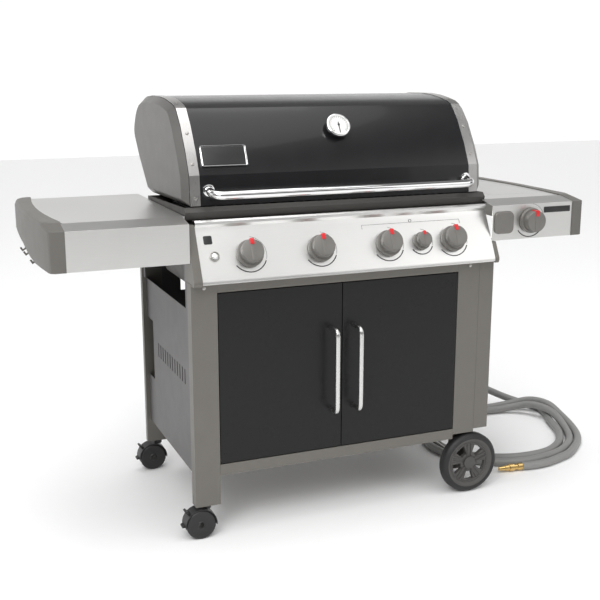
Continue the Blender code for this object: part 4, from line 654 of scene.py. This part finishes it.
def wheel_look(axis_x, axis_z, seam):
    """Black tyre outside the seam radius and grey hub inside it."""
    look = finish("wheel tyre and hub", (0.012, 0.012, 0.012), 0.55, grain=0.25, grain_size=0.0012,
                  uneven=0.10)
    tree = look.node_tree
    shader = tree.nodes["Principled BSDF"]
    tyre = shader.inputs["Base Color"].links[0].from_socket
    place = tree.nodes.new("ShaderNodeTexCoord")
    flat = tree.nodes.new("ShaderNodeMapping")
    flat.inputs["Location"].default_value = (-axis_x, 0.0, -axis_z)
    flat.inputs["Scale"].default_value = (1.0, 0.0, 1.0)
    tree.links.new(place.outputs["Object"], flat.inputs["Vector"])
    reach = tree.nodes.new("ShaderNodeVectorMath")
    reach.operation = "LENGTH"
    tree.links.new(flat.outputs["Vector"], reach.inputs[0])
    outside = tree.nodes.new("ShaderNodeMath")
    outside.operation = "GREATER_THAN"
    outside.inputs[1].default_value = seam
    tree.links.new(reach.outputs["Value"], outside.inputs[0])
    paint = tree.nodes.new("ShaderNodeMix")
    paint.data_type = "RGBA"
    paint.inputs["A"].default_value = (0.070, 0.067, 0.063, 1.0)
    tree.links.new(outside.outputs[0], paint.inputs["Factor"])
    tree.links.new(tyre, paint.inputs["B"])
    tree.links.new(paint.outputs["Result"], shader.inputs["Base Color"])
    return look


def make_wheel(node, outward):
    """Rounded tyre and hub, with ridges along the five spokes and a cap over the axle."""
    low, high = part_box(node)
    x, z = (low[0] + high[0]) / 2, (low[2] + high[2]) / 2
    face = low[1] if outward < 0 else high[1]
    refined(node, 0.0008, 2, 30.0, wheel_look(x, z, HUB_SEAM))
    out = Vector((0, outward, 0))
    floor = face - outward * 0.0090
    cap = disc(node + "_cap", (x, floor - outward * 0.001, z), out, 0.0200, 0.0070, HUB_GREY, 48, 0.0020)
    fitted(cap, node, "black_plastic")
    rim = ring(node + "_rim", (x, floor, z), out, 0.0640, 0.0030, HUB_GREY)
    fitted(rim, node, "black_plastic")
    for spoke in range(5):
        angle = math.radians(90.0 + 72.0 * spoke)
        along = Vector((math.cos(angle), 0.0, math.sin(angle)))
        for off in (-0.0065, 0.0065):
            across = along.cross(out).normalized()
            middle = Vector((x, floor, z)) + along * 0.0420 + across * off
            rib = tile(node + "_rib", middle, across, along, (0.0045, 0.0420, 0.0060), HUB_GREY, 0.0010)
            fitted(rib, node, "black_plastic")


def make_caster(node):
    """Rounded fork and wheels, with a cap over each end of the hub."""
    refined(node + "_fork", 0.0008, 2, 35.0)
    refined(node + "_wheel", 0.0008, 2, 35.0)
    low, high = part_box(node + "_wheel")
    x, z = (low[0] + high[0]) / 2, (low[2] + high[2]) / 2
    for face, outward in ((low[1], -1), (high[1], 1)):
        cap = disc(node + "_hub_cap", (x, face - outward * 0.0012, z), (0, outward, 0), 0.0088, 0.0012,
                   HUB_GREY, 32, 0.0005)
        fitted(cap, node + "_wheel", "black_plastic")


# ---------------------------------------------------------------- studio
def ramp_of(tree, source, stops):
    """Grey levels along a value, as (place, level) pairs."""
    ramp = tree.nodes.new("ShaderNodeValToRGB")
    while len(ramp.color_ramp.elements) < len(stops):
        ramp.color_ramp.elements.new(0.5)
    for stop, (place, level) in zip(ramp.color_ramp.elements, stops):
        stop.position = place
        stop.color = (level, level, level, 1.0)
    tree.links.new(source, ramp.inputs["Fac"])
    return ramp.outputs["Color"]


def light_world(tree):
    """A white wall behind the grill, and a darker room in front of it with one bright band overhead."""
    place = tree.nodes.new("ShaderNodeTexCoord")
    parts = tree.nodes.new("ShaderNodeSeparateXYZ")
    tree.links.new(place.outputs["Generated"], parts.inputs[0])
    behind = ramp_of(tree, parts.outputs["Z"], [(0.0, 1.0), (0.28, 1.0), (0.42, 0.25), (1.0, 0.25)])
    before = ramp_of(tree, parts.outputs["Z"], [(0.0, 0.12), (0.34, 0.12), (0.42, 0.85), (0.62, 0.85),
                                                (0.70, 0.16), (1.0, 0.20)])
    side = tree.nodes.new("ShaderNodeMapRange")
    side.inputs["From Min"].default_value = 0.15
    side.inputs["From Max"].default_value = -0.15
    tree.links.new(parts.outputs["Y"], side.inputs["Value"])
    both = tree.nodes.new("ShaderNodeMix")
    both.data_type = "RGBA"
    tree.links.new(side.outputs["Result"], both.inputs["Factor"])
    tree.links.new(behind, both.inputs["A"])
    tree.links.new(before, both.inputs["B"])
    tree.links.new(both.outputs["Result"], tree.nodes["Background"].inputs["Color"])
    tree.nodes["Background"].inputs["Strength"].default_value = 1.05


def make_studio():
    bpy.ops.object.select_all(action="DESELECT")
    bpy.ops.mesh.primitive_plane_add(size=24.0, location=(0.0, 0.0, -0.0005))
    floor_paint = finish("pale floor", (0.92, 0.92, 0.92), 0.6, grain=0.0, tint=0.005)
    floor = settled(bpy.context.object, "floor", floor_paint)
    world = bpy.data.worlds.new("studio")
    world.use_nodes = True
    light_world(world.node_tree)
    bpy.context.scene.world = world
    for name, place, target, size, power in (
            ("key", (-2.6, -3.2, 3.6), (0.0, 0.0, 0.7), 2.2, 95.0),
            ("fill", (3.0, -3.0, 2.2), (0.0, 0.0, 0.6), 2.5, 20.0),
            ("top", (0.0, 0.6, 4.0), (0.0, 0.0, 0.8), 2.5, 30.0)):
        light = bpy.data.lights.new(name, "AREA")
        light.size = size
        light.energy = power
        lamp = bpy.data.objects.new(name, light)
        lamp.location = place
        lamp.rotation_euler = (Vector(target) - Vector(place)).to_track_quat("-Z", "Y").to_euler()
        bpy.context.scene.collection.objects.link(lamp)
    sun = bpy.data.lights.new("overhead", "SUN")
    sun.angle = math.radians(70.0)
    sun.energy = 2.0
    lamp = bpy.data.objects.new("overhead", sun)
    lamp.rotation_euler = (math.radians(12.0), math.radians(-8.0), 0.0)
    bpy.context.scene.collection.objects.link(lamp)
    bpy.context.scene.view_settings.view_transform = "Standard"


place_camera()
dress_nodes()
make_hose()
for node in ("front_left_leg", "rear_left_leg", "front_right_leg", "rear_right_leg", "front_top_rail",
             "bottom_shelf", "right_side_panel", "left_side_panel", "control_panel", "panel_cap_left",
             "left_table_cap", "right_table_cap"):
    refined(node)
for node in ("left_table", "right_table", "side_burner_lid"):
    refined(node, crease=9.0)
for node in ("left_door", "right_door"):
    refined(node, 0.0015, 3)
make_lid()
make_thermometer()
make_lid_screws()
make_controls()
make_panel_marks()
make_table_badge()
make_leg_screws()
make_door_handle("left")
make_door_handle("right")
make_wheel("front_wheel", -1)
make_wheel("rear_wheel", 1)
make_caster("front_caster")
make_caster("rear_caster")
make_studio()
